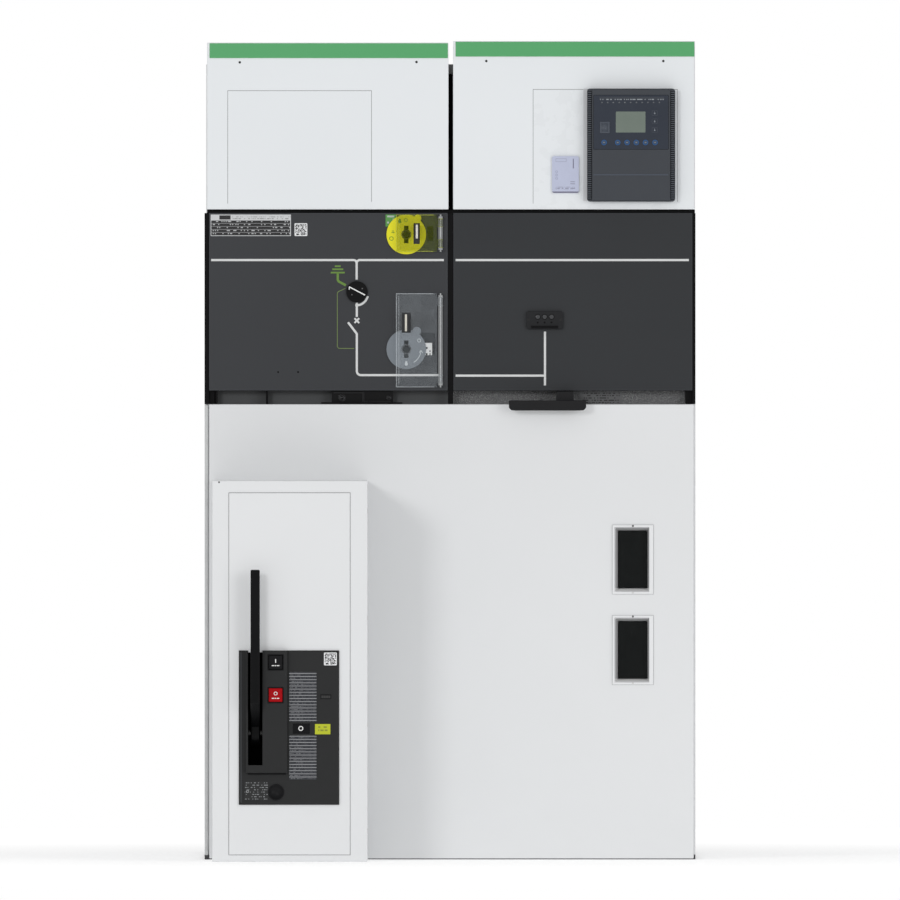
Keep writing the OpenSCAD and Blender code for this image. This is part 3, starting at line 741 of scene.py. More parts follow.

# The raised field ends in a step whose dark plastic paints the shadow under the field, and a small counter
# sits in a frame at the right.
field_shadow_step = plate("fascia_field_shadow_step", fascia_front.span(17.5, 92, 58.5, 62, 2.5), 0.8, 0.4)
counter = frame_ring("fascia_counter_frame", fascia_front.span(158.5, 179.5, 205.5, 214.5, 0.8), 1.5, 0.2)
fit(join("fascia_small_trim", [field_shadow_step, counter]), fascia_trim)
drum_height = 0.0045
counter_low = fascia_front.at(160.5, 207.5)
counter_drums = plate("fascia_counter_drums", fascia_front.span(160, 178, 207, 213, 0.2), 0, 0.05)


def drum_marks(made):
    wheel = (made.x - counter_low.x) / 0.0034
    return (wheel.maths("FRACT", wheel) > 0.42) * between(made.z, counter_low.z, counter_low.z + drum_height)


fit(counter_drums,
    printed("counter print", (0.002, 0.002, 0.002), (0.035, 0.035, 0.035), drum_marks))

# A raised rib beside the field, down the fascia's left side.
left_rib = plate("fascia_left_rib", fascia_front.span(3, 6.2, 4, 296, 0.9), 0.6, 0.3)
fit(left_rib, moulding("fascia rib plastic", (0.035, 0.037, 0.04), 0.48, shine=0.2))

# ---------------------------------------------------------------- charging lever and its shaft
# The spring-charging lever: a black moulded grip on a steel core, with a
# round hub on the turned steel shaft that drives the charging gear. A black
# pressed liner shuts off the pocket that the hub turns in; its near black paints the shade deep in the
# pocket.
def give_wall(piece, wall, offset):
    """Gives the chosen bare sheet a wall so many millimetres thick."""
    thicken = piece.modifiers.new("wall", "SOLIDIFY")
    thicken.thickness = wall * MM
    thicken.offset = offset
    bpy.ops.object.modifier_apply(modifier=thicken.name)


# The liner's near black paints the shade deep in the pocket.
liner = block("mechanism_pocket_shade_liner", *fascia_front.span(10.2, 91.8, 66.2, 295.8, -3.2, 75.8))
pick(liner, lambda face: face.normal.y < -0.9)
bpy.ops.mesh.delete(type="FACE")
bpy.ops.object.mode_set(mode="OBJECT")
give_wall(liner, 0.8, -1)
round_edges(liner, 0.15)
fit(liner, moulding("pocket painted shade black", (0.002, 0.002, 0.002), 0.7, shine=0.03))
lever_black = (0.003, 0.0032, 0.0036)
lever = refine("charging_lever", "charging_lever_grip", 2.2, 3)
fit(lever, moulding("lever plastic", lever_black, 0.36, 420, 0.08, 0.1), "charging_lever")
shaft = refine("charging_shaft", "charging_shaft_turned", 0.6)
fit(shaft, bare_metal("shaft steel", (0.12, 0.12, 0.12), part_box("charging_shaft"), 0.3, 500))

# ---------------------------------------------------------------- push buttons
# The black close button and the red open button: moulded caps with a
# dished face, and the usual bar and ring for on and off moulded in white.
button_colours = {"close": (0.010, 0.010, 0.011), "open": (0.34, 0.003, 0.006)}
symbol_white = (0.78, 0.78, 0.77)
symbol_finish = moulding("button symbol plastic", symbol_white, 0.4)
for action, colour in button_colours.items():
    node = action + "_button"
    cap = refine(node, node + "_cap", 1.2, 3)
    fit(cap, moulding(action + " button plastic", colour, 0.32, 700, 0.03, 0.08), node)
    button = Front(node)
    middle = (button.high.x - button.low.x) / MM / 2
    if action == "close":
        symbols = [plate("close_symbol",
            button.span(middle - 0.9, middle + 0.9, middle - 1, middle + 6.5, 0.25), 0.3, 0.1)]
    else:
        ring = turned("open_symbol", button.at(middle, middle + 3), to_front, 3.6, 0.25, 0, 32, 0)
        hollow(ring, 1.2)
        symbols = [ring]
    for left, right in ((-7.5, -3), (-2, 1), (2.2, 7.2)):
        symbols.append(plate(node + "_mark", button.span(
            middle + left, middle + right, middle - 7.2, middle - 5.4, 0.2), 0.2, 0.08))
    fit(join(node + "_symbol", symbols), symbol_finish, node)
    bezel = frame_ring(node + "_bezel", (
        button.low + Vector((-2.6 * MM, -1.4 * MM, -2.6 * MM)),
        Vector((button.high.x + 2.6 * MM, field_front.plane, button.high.z + 2.6 * MM))), 1.4, 0.3, 1)
    fit(bezel, fascia_trim)

# ---------------------------------------------------------------- breaker state and spring flags
# Two small flags behind the fascia: the state flag is black with a white
# ring, and the spring flag is yellow with a printed sign. Painted tin.
state_flag = refine("state_indicator", "state_flag", 0.25)
fit(state_flag, moulding("state flag black", (0.006, 0.006, 0.007), 0.3, shine=0.1))
state_front = Front("state_indicator")
ring = turned("state_flag_ring", state_front.at(15.5, 10.4), to_front, 4.8, 0.2, 0, 40, 0)
hollow(ring, 1.7)
fit(ring, symbol_finish)

flag_yellow = (0.44, 0.48, 0.012)
spring_front = Front("spring_indicator")
spring_low = spring_front.at(5.5, 3.8)
spring_high = spring_front.at(24.5, 15.8)


def spring_marks(made):
    field = between(made.x, spring_low.x, spring_high.x) * between(made.z, spring_low.z, spring_high.z)
    return field * print_marks(made, made.x, made.z, 0.0062, 0.0032, 0.0021, 0.55, 2.0)


spring_flag = refine("spring_indicator", "spring_flag", 0.25)
fit(spring_flag, printed("spring flag print", flag_yellow, (0.22, 0.24, 0.02), spring_marks, 0.4))

# ---------------------------------------------------------------- mimic panels
# Two dark satin panels, one a column, that carry the single-line diagram
# as inlaid pale grey and green strips, with a rating plate and a code label.
mimic_dark = (0.026, 0.028, 0.032)
mimic_right_dark = (0.017, 0.019, 0.022)
line_grey = (0.60, 0.61, 0.61)
line_green = (0.13, 0.235, 0.05)
thin_green = (0.15, 0.21, 0.075)
line_width = 4.3
thin_line = 1.4
line_thickness = 0.35
bus_up = 255


def satin_panel(name, colour, box):
    """Dark satin paint on steel: even, with faint wiping marks along its length."""
    finish = Finish(name, {"Specular IOR Level": 0.35})
    cloud = finish.noise(3.1, 3)
    fine = finish.noise(900, 2)
    wiped = finish.node("ShaderNodeTexNoise", None, {
        "Vector": finish.node("ShaderNodeMapping", None, {"Vector": finish.place, "Scale": (4, 60, 60)}),
        "Scale": 1.0, "Detail": 3})
    rubbed = finish.fade(finish.edge_distance(*box), 0.0002, 0.002) * 0.5
    shade = finish.mix(cloud, tone(colour, 0.92), tone(colour, 1.08))
    finish.feed("Base Color", finish.mix(rubbed, shade, tone(colour, 2.2)))
    finish.feed("Roughness", 0.46 + (wiped - 0.5) * 0.14 + (fine - 0.5) * 0.1)
    finish.bump(fine, 0.00005, 0.3)
    return finish.material


for node, colour in (("left_mimic_panel", mimic_dark), ("right_mimic_panel", mimic_right_dark)):
    panel = refine(node, node + "_sheet", 0.7)
    fit(panel, satin_panel(node.replace("_", " ") + " satin", colour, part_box(node)))
left_mimic = Front("left_mimic_panel")
right_mimic = Front("right_mimic_panel")


def heading(degrees):
    """The way that a compass heading points on a front: 0 is up and 90 is right."""
    return Vector((math.sin(math.radians(degrees)), 0, math.cos(math.radians(degrees))))


def face_outwards():
    """Turns all faces of the piece being edited outwards, and ends the editing."""
    bpy.ops.mesh.select_all(action="SELECT")
    bpy.ops.mesh.normals_make_consistent(inside=False)
    bpy.ops.object.mode_set(mode="OBJECT")


def strip(name, start, facing, moves, width=line_width):
    """A flat inlaid strip, laid from one point like a road. Moves are ("on", length)
    or ("bend", radius, degrees), degrees clockwise, in millimetres."""
    clear_selection()
    half = width * MM / 2
    middle = line_thickness * MM / 2
    here = start + Vector((0, -middle, 0))
    bpy.ops.mesh.primitive_plane_add(
        size=width * MM, location=here, rotation=(math.pi / 2, math.radians(facing), 0))
    bpy.ops.object.transform_apply(location=True, rotation=True, scale=True)
    piece = bpy.context.object
    piece.name = name
    end = here + heading(facing) * half
    pick(piece, lambda line: ((line.verts[0].co + line.verts[1].co) / 2 - end).length < half / 4, "EDGE")
    here = end
    for kind, size, *angle in moves:
        if kind == "on":
            step = heading(facing) * size * MM
            bpy.ops.mesh.extrude_region_move(TRANSFORM_OT_translate={"value": step})
            here = here + step
        else:
            side = 90 if angle[0] > 0 else -90
            centre = here + heading(facing + side) * size * MM
            bpy.ops.mesh.spin(
                steps=max(2, round(abs(angle[0]) / 12)), angle=-math.radians(angle[0]), center=centre,
                axis=(0, 1, 0))
            facing += angle[0]
            here = centre - heading(facing + side) * size * MM
    face_outwards()
    give_wall(piece, line_thickness, 0)
    bpy.ops.object.mode_set(mode="EDIT")
    face_outwards()
    round_edges(piece, 0.08, 1)
    return piece


half_line = line_width / 2
switch_right = 288.5
blade_right = 288.8
feeder_up = 30
bend = 6
under = -0.08
left_lines = [
    strip("bus", left_mimic.at(4 + half_line, bus_up), 90, [
        ("on", switch_right - bend - 4 - line_width), ("bend", bend, 90), ("on", 34 - bend + line_width)]),
    strip("bus", left_mimic.at(459 - half_line, bus_up, under), 270, [
        ("on", 459 - switch_right - bend - line_width), ("bend", bend, -90), ("on", 4)]),
    strip("switch_arc", left_mimic.at(309.5, 182.5, under), 205, [("on", 2), ("bend", 21, 62), ("on", 4)]),
    strip("switch_foot", left_mimic.at(blade_right, 169.5), 180, [("on", 23.5)]),
    strip("cross", left_mimic.at(blade_right - 3.3, 139.9, under), 135, [("on", 9.4)], 3.6),
    strip("cross", left_mimic.at(blade_right - 3.3, 133.3), 45, [("on", 9.4)], 3.6),
    strip("blade", left_mimic.at(273, 131.5), 142.5, [("on", 23)]),
    strip("feeder", left_mimic.at(blade_right, 110, under), 180, [
        ("on", 110 - feeder_up - 8 - half_line), ("bend", 8, -90),
        ("on", 458 - blade_right - 8 - half_line)])]
fit(join("left_mimic_lines", left_lines), moulding("pale line enamel", line_grey, 0.42))

earth_right = 251.5
earth_lines = [
    strip("earth_bar", left_mimic.at(earth_right - width / 2, up), 90, [("on", width)], 3.4)
    for up, width in ((243, 8), (237, 18), (230.5, 24))]
earth_lines.append(
    strip("earth_stem", left_mimic.at(earth_right, 227), 180,
        [("on", 7), ("bend", 6, -62), ("on", 14.5)], 4.6))
fit(join("left_mimic_earth_lines", earth_lines),
    moulding("green line enamel", line_green, 0.42, shine=0.2))
interlock = strip("left_mimic_interlock_line", left_mimic.at(266, 199.5), 245, [
    ("on", 13), ("bend", 5, -65), ("on", 102), ("bend", 5, -90), ("on", 28)], thin_line)
fit(interlock, moulding("thin line enamel", thin_green, 0.42, shine=0.2))

test_right, test_up = 179.2, 29
right_lines = [
    strip("bus", right_mimic.at(4.5 + half_line, bus_up), 90, [("on", 456 - line_width)]),
    strip("test_link", right_mimic.at(4.5 + half_line, test_up), 90,
        [("on", test_right - 4.5 - line_width - half_line)]),
    strip("test_drop", right_mimic.at(test_right, 113, under), 180, [("on", 101)])]
fit(join("right_mimic_lines", right_lines), moulding("right pale line enamel", line_grey, 0.42))

# The rating plate: a pale head over black rows, all of it chance dashes.
rating_low, rating_high = left_mimic.span(3, 160, 302, 344, 0.4)
rating_plate = plate("rating_plate", (rating_low, rating_high), 0.8, 0.1)
rating_paper = (0.56, 0.57, 0.58)
rating_pitch = 0.0059


def rating_marks(made):
    """Black rows with thin pale rules and dashes, and a pale head with a dark block and fine marks."""
    top = rating_high.z - made.z
    across = made.x - rating_low.x
    rows = between(top, 0.0112, 0.0412) * between(across, 0.0012, 0.1555)
    rules = print_marks(made, across, top - 0.0112, rating_pitch, 0.0005, 0.2, 1.1)
    dashes = print_marks(made, across, top - 0.0125, rating_pitch, 0.0022, 0.0021, 0.24, 4.0)
    dark_block = between(top, 0.0016, 0.0099) * between(across, 0.017, 0.039)
    fine_marks = print_marks(made, across, top, 0.0036, 0.0017, 0.0016, 0.45, 5.0)
    head = between(top, 0.004, 0.0095) * (across > 0.042) * fine_marks
    return rows * (1 - rules * 0.7) * (1 - dashes * 0.7) + dark_block + head * 0.6


fit(rating_plate,
    printed("rating plate print", rating_paper, (0.014, 0.014, 0.015), rating_marks, 0.32))
code_square("mimic_code_label", left_mimic, 167, 302, 25)

# Two small plugged holes low on the left panel.
plugs = [turned("mimic_plug", left_mimic.at(right, 36), to_front, 1.8, 0.25, 2, 20,
    0.15) for right in (135, 174)]
fit(join("left_mimic_plugs", plugs), moulding("mimic plug plastic", (0.002, 0.002, 0.002), 0.5, shine=0.04))

# ---------------------------------------------------------------- trims, rail, key lock and panel handle
# Black moulded trims frame the mimic panels; their near black also paints the
# shade in the recess round the panels. Under them a grey rail, with painted shade
# at its top, carries the key lock and the black grip that the lower panel is lifted by.
trim_black = (0.003, 0.003, 0.0034)
trims = refine("mimic_trims", "mimic_trim_mouldings", 0.8)
fit(trims, moulding("trim plastic", trim_black, 0.5, shine=0.08))
rail = refine("recess_rail", "recess_rail_section", 0.8)


def textured_rail(name):
    """Coarse textured grey paint with painted shade under the panels above it, and pale specks on the right.
    """
    finish = Finish(name, {"Specular IOR Level": 0.4})
    low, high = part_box("recess_rail")
    grains = finish.noise(650, 4)
    cloud = finish.noise(30, 4)
    # Painted shade: the paint darkens towards the top of the rail, under the mimic panels.
    under = finish.fade(high.z - finish.z, 0, 0.045)
    speck = (finish.noise(1100, 1) > 0.58) * (finish.x > 0.005) * 0.7
    to_right = 1 - finish.fade(finish.x, 0.0, 0.02)
    paint = finish.mix(to_right, (0.105, 0.11, 0.115), (0.20, 0.205, 0.21))
    shade = finish.mix(under, paint, (0.04, 0.042, 0.044))
    mottled = finish.mix(grains * 0.5 + cloud * 0.2, shade, (0.085, 0.088, 0.09))
    finish.feed("Base Color", finish.mix(speck, mottled, (0.48, 0.48, 0.48)))
    finish.feed("Roughness", 0.5 + grains * 0.25)
    finish.bump(grains, 0.0002, 0.5)
    return finish.material


fit(rail, textured_rail("textured rail paint and painted shade"))
rail_front = Front("recess_rail")
fins = [plate("recess_fin", rail_front.span(right - 2, right + 2, 0, 46, 24), 0,
    0.4) for right in (3, 101.5)]
fit(join("recess_fins", fins), moulding("recess fin plastic", trim_black, 0.45, shine=0.08))
recess_low, recess_high = rail_front.span(712.5, 797.5, 22, 45, 0.5)
recess_label = plate("recess_label", (recess_low, recess_high), 1, 0.15)
recess_print = dash_rows(recess_low, 0.006, 0.079, 0.0046, 0.0024, 0.0022, 0.5, 9.0)
fit(recess_label, printed(
    "recess label print", (0.13, 0.133, 0.137), (0.03, 0.03, 0.03), recess_print, 0.45))

lock = refine("key_lock", "key_lock_bracket", 0.6)
fit(lock, moulding("key lock plastic", trim_black, 0.35, shine=0.15))
lock_front = Front("key_lock")
lock_rounds = []
for right, radius in ((20.5, 7), (112, 5)):
    face = turned("key_lock_round", lock_front.at(right, 13), to_front, radius, 1.6, 3, 40, 0.3)
    sink(face, radius * 0.14, 1.0)
    sink(face, radius * 0.4, -0.8)
    lock_rounds.append(face)
fit(join("key_lock_rounds", lock_rounds),
    bare_metal("lock barrel nickel", (0.045, 0.045, 0.047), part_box("key_lock"), 0.25, 700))
lip_left, lip_right = -0.252, -0.093
rail_lip = plate("rail_lip", (
    Vector((lip_left, panel_box[0].y + 2 * MM, panel_box[1].z + 0.6 * MM)),
    Vector((lip_right, panel_box[0].y + 18 * MM, panel_box[1].z + 4 * MM))), 0, 0.5)
fit(rail_lip, moulding("rail lip plastic", trim_black, 0.45, shine=0.08))
lock_ledges = [
    plate("key_lock_ledge", lock_front.span(4, 60, 21, 24, 3), 0.5, 0.4),
    plate("key_lock_ledge", lock_front.span(64, 116, 3, 6, 2.4), 0.5, 0.4),
    plate("key_lock_web", lock_front.span(60, 64, 2, 25, 2), 0.4, 0.3)]
fit(join("key_lock_ledges", lock_ledges),
    moulding("lock ledge plastic", (0.008, 0.008, 0.009), 0.3, shine=0.25))


def cut_corners(grip):
    """Takes the grip's two lower corners off at a slant."""
    low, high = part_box("panel_handle")
    pick(grip, lambda line: all(abs(corner.co.z - low.z) < 1e-5 for corner in line.verts) and any(
        all(abs(corner.co.x - end) < 1e-5 for corner in line.verts) for end in (low.x, high.x)), "EDGE")
    bpy.ops.mesh.bevel(offset=5 * MM, offset_type="OFFSET", segments=1, affect="EDGES")
    bpy.ops.object.mode_set(mode="OBJECT")


handle = refine("panel_handle", "panel_handle_grip", 1.6, 3, cut_corners)
fit(handle, moulding("handle plastic", (0.009, 0.009, 0.010), 0.4, 480, 0.08, 0.18))
handle_front = Front("panel_handle")
handle_width = (handle_front.high.x - handle_front.low.x) / MM
handle_lip = plate("panel_handle_lip", handle_front.span(11, handle_width - 11, -0.4, 3.4, -1.2, 12), 1, 0.5)
fit(handle_lip, moulding("handle lip plastic", (0.02, 0.02, 0.021), 0.4, shine=0.2))

# ---------------------------------------------------------------- voltage indicator
# The voltage presence indicator: a small black housing screwed to the
# right mimic panel, with three lamps, a test hole under each, and a lip.
voltage = refine("voltage_indicator", "voltage_indicator_housing", 1.2, 3)
fit(voltage, moulding("voltage indicator plastic", (0.011, 0.0115, 0.013), 0.4, shine=0.2))
voltage_front = Front("voltage_indicator")
first_lamp, lamp_pitch = 22, 13.5
lamp_lens = turned("voltage_lamp", voltage_front.at(first_lamp, 24), to_front, 4.3, 1.0, 1, 32, 0.7)
lamps = [lamp_lens] + [copy_to(lamp_lens, (step * lamp_pitch * MM, 0, 0)) for step in (1, 2)]
fit(join("voltage_lamps", lamps), moulding("voltage lamp lens", (0.045, 0.047, 0.05), 0.12, 200, 0.01))
lamp_rights = [first_lamp + step * lamp_pitch for step in range(3)]
rims = [turned("voltage_lamp_rim", voltage_front.at(right, 24), to_front, 5.6, 0.4, 1, 36, 0.2)
        for right in lamp_rights]
rims.append(plate("voltage_lip", voltage_front.span(9, 62, 1.2, 6.5, 1.6), 1, 0.5))
rims += [turned("voltage_hole", voltage_front.at(right, 12.8), to_front, 1.9, 0.5, 1, 20, 0.2)
         for right in lamp_rights]
fit(join("voltage_indicator_trim", rims),
    moulding("voltage trim plastic", (0.003, 0.003, 0.0035), 0.4, shine=0.1))
voltage_screws = [screw_head("voltage_screw", voltage_front.at(right, 18.5), to_front, radius=2, proud=0.5)
                  for right in (4, 67)]
fit(join("voltage_indicator_screws", voltage_screws), dark_screw)

# ---------------------------------------------------------------- switch position indicator
# A black disc in the diagram that turns with the switch. Its inlaid white
# line joins the earth mark at rest, and the two line ends when closed.
disc = refine("position_indicator", "position_disc", 0.5)
fit(disc, moulding("position disc plastic", (0.004, 0.004, 0.0045), 0.4, shine=0.1),
    "position_indicator")
disc_front = Front("position_indicator")
disc_parts = [
    strip("disc_line", disc_front.at(6.6, 30.6), 117.6, [("on", 33)], 2.1),
    strip("disc_tick", disc_front.at(6.2, 30.4, under), 184, [("on", 4)], 1.8)]
disc_line = join("position_disc_line", disc_parts)
fit(disc_line, moulding("disc line enamel", (0.80, 0.81, 0.80), 0.4), "position_indicator")
holes = [turned("disc_hole", disc_front.at(*place), to_front, 1.3, 0.2, 1, 20, 0.1)
         for place in ((31.5, 27.6), (11.2, 15.5))]
fit(join("position_disc_pins", holes), moulding("disc pin steel", (0.10, 0.10, 0.10), 0.3),
    "position_indicator")

# ---------------------------------------------------------------- earthing and disconnector operating points
# Each is a round moulded dial with a lever socket and a tab slot, under a
# hinged plastic flap that a padlock can hold shut over a steel tab.
dial_yellow = (0.70, 0.66, 0.006)
dial_grey = (0.165, 0.187, 0.21)
icon_green = (0.10, 0.24, 0.015)
icon_pale = (0.52, 0.56, 0.58)
icon_relief = 0.3


def clear_plastic(name, colour, alpha, roughness=0.16):
    """Tinted clear sheet: faint clouding, fine scratches, denser near its cut edges."""
    finish = Finish(name,
        {"IOR": 1.5, "Specular IOR Level": 0.2, "Coat Weight": 0.06, "Coat Roughness": 0.08})
    cloud = finish.noise(24, 4)
    scratches = finish.node("ShaderNodeTexNoise", None, {
        "Vector": finish.node("ShaderNodeMapping", None, {"Vector": finish.place, "Scale": (260, 260, 30)}),
        "Scale": 1.0, "Detail": 4})
    finish.feed("Base Color", finish.mix(cloud, tone(colour, 0.9), colour))
    finish.feed("Roughness", roughness + (scratches > 0.6) * 0.12)
    finish.feed("Alpha", alpha + (cloud - 0.5) * 0.1 + (scratches > 0.66) * 0.05)
    finish.bump(scratches, 0.00003, 0.25)
    return finish.material


def icon_ring(name, front, right, up, radius, sides, thickness):
    """A raised outline sign, round or six-sided, on a dial."""
    outline = turned(name, front.at(right, up), to_front, radius, icon_relief, 0, sides, 0)
    hollow(outline, thickness)
    round_edges(outline, 0.08, 1)
    return outline


def icon_drop(name, front, right, up, radius):
    """A raised drop: a disc whose top is drawn up to a point."""
    drop = turned(name, front.at(right, up), to_front, radius, icon_relief, 0, 24, 0)
    top = front.at(right, up).z + radius * 0.86 * MM
    pick(drop, lambda line: all(corner.co.z > top for corner in line.verts), "EDGE")
    bpy.ops.transform.translate(value=(0, 0, radius * 0.8 * MM))
    bpy.ops.object.mode_set(mode="OBJECT")
    round_edges(drop, 0.08, 1)
    return drop


def socket_bezel(name, front, right, up, radius):
    """The raised collar round a lever socket."""
    collar = turned(name, front.at(right, up), to_front, radius + 2.2, 0.5, 0, 40, 0)
    hollow(collar, 1.9)
    round_edges(collar, 0.15, 2)
    return collar


dial_looks = {
    "earthing": {"slot": "yellow_dial", "colour": dial_yellow, "icon": icon_green,
        "bezel": (0.06, 0.065, 0.008)},
    "disconnector": {"slot": "grey_dial", "colour": dial_grey, "icon": icon_pale,
        "bezel": (0.05, 0.055, 0.06)}}
for kind, look in dial_looks.items():
    node = kind + "_dial"
    dial = refine(node, node + "_moulding", 0.6)
    fit(dial, moulding(kind + " dial plastic", look["colour"], 0.38, 500, 0.05))
    dial_front = Front(node)
    middle = 38.7
    if kind == "earthing":
        icons = [
            icon_drop(node + "_icon", dial_front, middle - 13, middle + 25, 3.2),
            icon_ring(node + "_icon", dial_front, middle - 1, middle + 28, 4.0, 6, 1.0),
            icon_ring(node + "_icon", dial_front, middle - 29, middle - 8, 4.2, 32, 1.1)]
        for left, right, foot in ((-29, -23, 3), (-28, -24, 6)):
            icons.append(plate(node + "_icon", dial_front.span(
                middle + left, middle + right, middle + foot, middle + foot + 1.4, icon_relief), 0.4, 0.08))
    else:
        icons = [
            icon_ring(node + "_icon", dial_front, middle + 25, middle + 17, 4.0, 6, 1.0),
            icon_drop(node + "_icon", dial_front, middle, middle - 29, 3.2),
            strip(node + "_icon", dial_front.at(middle + 28.9, middle - 2.5), 185, [("bend", 29, 55)], 1.4),
            strip(node + "_icon", dial_front.at(middle + 25.6, middle - 6.6), 30, [("on", 4)], 1.2),
            strip(node + "_icon", dial_front.at(middle + 31.6, middle - 6.6), 330, [("on", 4)], 1.2)]
    fit(join(kind + "_dial_icons", icons), moulding(kind + " icon enamel", look["icon"], 0.45))
    collar = socket_bezel(kind + "_socket_collar", dial_front, middle, middle, 7.4)
    fit(collar, moulding(kind + " collar plastic", look["bezel"], 0.4))

# The steel padlock tabs come through the dials' slots; their root plates lie against the panel.
tabs = refine("padlock_tabs", "padlock_tabs_cut", 0.35)
fit(tabs, bare_metal("tab nickel", (0.74, 0.72, 0.64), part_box("padlock_tabs"), 0.26, 800))

# The edge tint is brighter than the sheet's: it paints the highlight on the cut edges and knuckle collars.
flap_looks = {
    "earthing": {"slot": "yellow_flap", "tint": (0.12, 0.15, 0.001), "alpha": 0.17,
        "edge": (0.72, 0.76, 0.10)},
    "disconnector": {"slot": "clear_flap", "tint": (0.50, 0.55, 0.59), "alpha": 0.065,
        "edge": (0.70, 0.74, 0.77)}}
flap_edge = 1.1
# How far the sheet's face lies behind the knuckles on its pin, in millimetres.
flap_knuckle = 3.25
knuckle_radius = 4.5
for kind, look in flap_looks.items():
    node = kind + "_flap"
    flap = refine(node, node + "_sheet", 0.35)
    fit(flap, clear_plastic(kind + " flap sheet", look["tint"], look["alpha"]), node)
    flap_front = Front(node, flap_knuckle)
    flap_height = (flap_front.high.z - flap_front.low.z) / MM
    # The edge of the sheet: a raised border on three sides, in a brighter, denser tint that paints the
    # highlight its cut edge catches.
    left, right, bottom, top = 0.4, 74, 0.4, flap_height - 0.4
    borders = [
        (left, left + flap_edge, bottom, top), (left + 5, left + 5.8, bottom + 5, top - 5),
        (left, right, top - flap_edge, top), (left, right, bottom, bottom + flap_edge)]
    pieces = [plate(node + "_border", flap_front.span(*one, 0.3), 0, 0.1) for one in borders]
    # A thicker collar at each end of the two knuckles.
    pin = Vector((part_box(node)[1].x - knuckle_radius * MM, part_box(node)[0].y + knuckle_radius * MM,
        flap_front.low.z))
    for up in (8, 24.5, flap_height - 24.5, flap_height - 8):
        inward = 1 if up in (8, flap_height - 24.5) else -1
        pieces.append(turned(
            node + "_collar", pin + Vector((0, 0, up * MM)), (0, 0, inward), knuckle_radius + 0.35, 1.1,
            0, 24, 0.15))
    border = join(node + "_border", pieces)
    fit(border, clear_plastic(kind + " flap edge", look["edge"], 0.34, 0.2), node)
    hinge = refine(kind + "_hinge", kind + "_hinge_pin", 0.35)
    fit(hinge,
        bare_metal(kind + " hinge steel", (0.36, 0.37, 0.375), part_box(kind + "_hinge"), 0.3, 800))

# Printed labels on the panel behind the flaps, and dark backing plates.
label_white = (0.70, 0.71, 0.71)
backings = [
    plate("flap_backing", left_mimic.span(426, 438, 293, 321, 0.3), 0.5, 0.08),
    plate("flap_backing", left_mimic.span(415, 442, 70, 113, 0.3), 0.5, 0.08)]
fit(join("flap_backing_plates", backings),
    moulding("backing plate film", (0.005, 0.005, 0.006), 0.45, shine=0.1))
green_label = plate("earthing_label", left_mimic.span(345, 365, 320.5, 344, 0.5), 0.6, 0.1)
fit(green_label, printed(
    "earthing label print", (0.085, 0.27, 0.06), (0.40, 0.45, 0.40),
    dash_rows(left_mimic.at(345, 320.5), 0.003, 0.017, 0.006, 0.0035, 0.0034, 0.45, 11.0)))
white_label = plate("disconnector_label", left_mimic.span(420, 436, 69, 93, 0.5), 0.6, 0.1)
fit(white_label, printed(
    "disconnector label print", label_white, ink_black,
    dash_rows(left_mimic.at(420, 69), 0.003, 0.013, 0.006, 0.004, 0.0036, 0.5, 12.0)))

# ---------------------------------------------------------------- low-voltage compartments
# A zinc-coated steel box on top of each column for relays and terminals,
# shut by a white powder-coated cover with a green band across its head.
lv_white = (0.74, 0.765, 0.785)
band_green = (0.078, 0.345, 0.128)
cover_screw_radius = 2.4
for side in ("left", "right"):
    box_sheet = refine(side + "_lv_box", side + "_lv_box_sheet", 0.8)
    fit(box_sheet, bare_metal(side + " box zinc", zinc_grey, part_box(side + "_lv_box")))
    cover_sheet = refine(side + "_lv_cover", side + "_lv_cover_sheet", 1.5, 3)
    fit(cover_sheet,
        enamel(side + " cover white", lv_white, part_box(side + "_lv_cover"), 0.38, 0.2))
    band = refine(side + "_header_band", side + "_header_band_strip", 0.4)
    fit(band, enamel(side + " band green", band_green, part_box(side + "_header_band"), 0.45, 0.25,
                     (0.2, 0.45, 0.26)))
left_cover = Front("left_lv_cover")
right_cover = Front("right_lv_cover")
cover_screws = [
    turned("cover_screw", place, to_front, cover_screw_radius, 0.4, 2, 24, 0.2)
    for place in (left_cover.at(64, 287.5), left_cover.at(409.5, 288), right_cover.at(65, 290),
        right_cover.at(411, 290))]
fit(join("cover_fixing_pins", cover_screws), moulding("fixing pin black", (0.012, 0.012, 0.012), 0.35))


def instrument_plate(name, front, left, right, top, finish):
    """The blanking sheet where instruments are cut in, down to the cover's foot. A dark joint line runs
    round its top and sides and stops a little above the foot."""
    joint = 0.9
    left_end, right_end = 11.5, 15.0
    sheet = plate(name, front.span(left + joint, right - joint, 1, top - joint, 0.5), 0.4, 0.2)
    fit(sheet, finish)
    lines = [
        block(name, *front.span(left, right, top - joint, top, 0.06)),
        block(name, *front.span(left, left + joint, left_end, top - joint, 0.06)),
        block(name, *front.span(right - joint, right, right_end, top - joint, 0.06))]
    seam = join(name + "_joint", lines)
    fit(seam, moulding(name.replace("_", " ") + " joint", (0.20, 0.20, 0.205), 0.6))


plate_paint = enamel("instrument plate white", (0.735, 0.76, 0.78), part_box("left_lv_cover"), 0.38, 0.1)
instrument_plate("left_instrument_plate", left_cover, 40, 322, 232.5, plate_paint)
instrument_plate("right_instrument_plate", right_cover, 156, 439, 235, plate_paint)
# A grey strip down the right cover's side edge paints the shade on its rounded edge.
shaded_cover_edge = plate("right_cover_edge_shade", right_cover.span(471.2, 472.8, 2, 318, 0.25), 0, 0.1)
fit(shaded_cover_edge,
    enamel("cover edge painted shade", (0.62, 0.62, 0.64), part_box("right_lv_cover"), 0.45, 0.2))

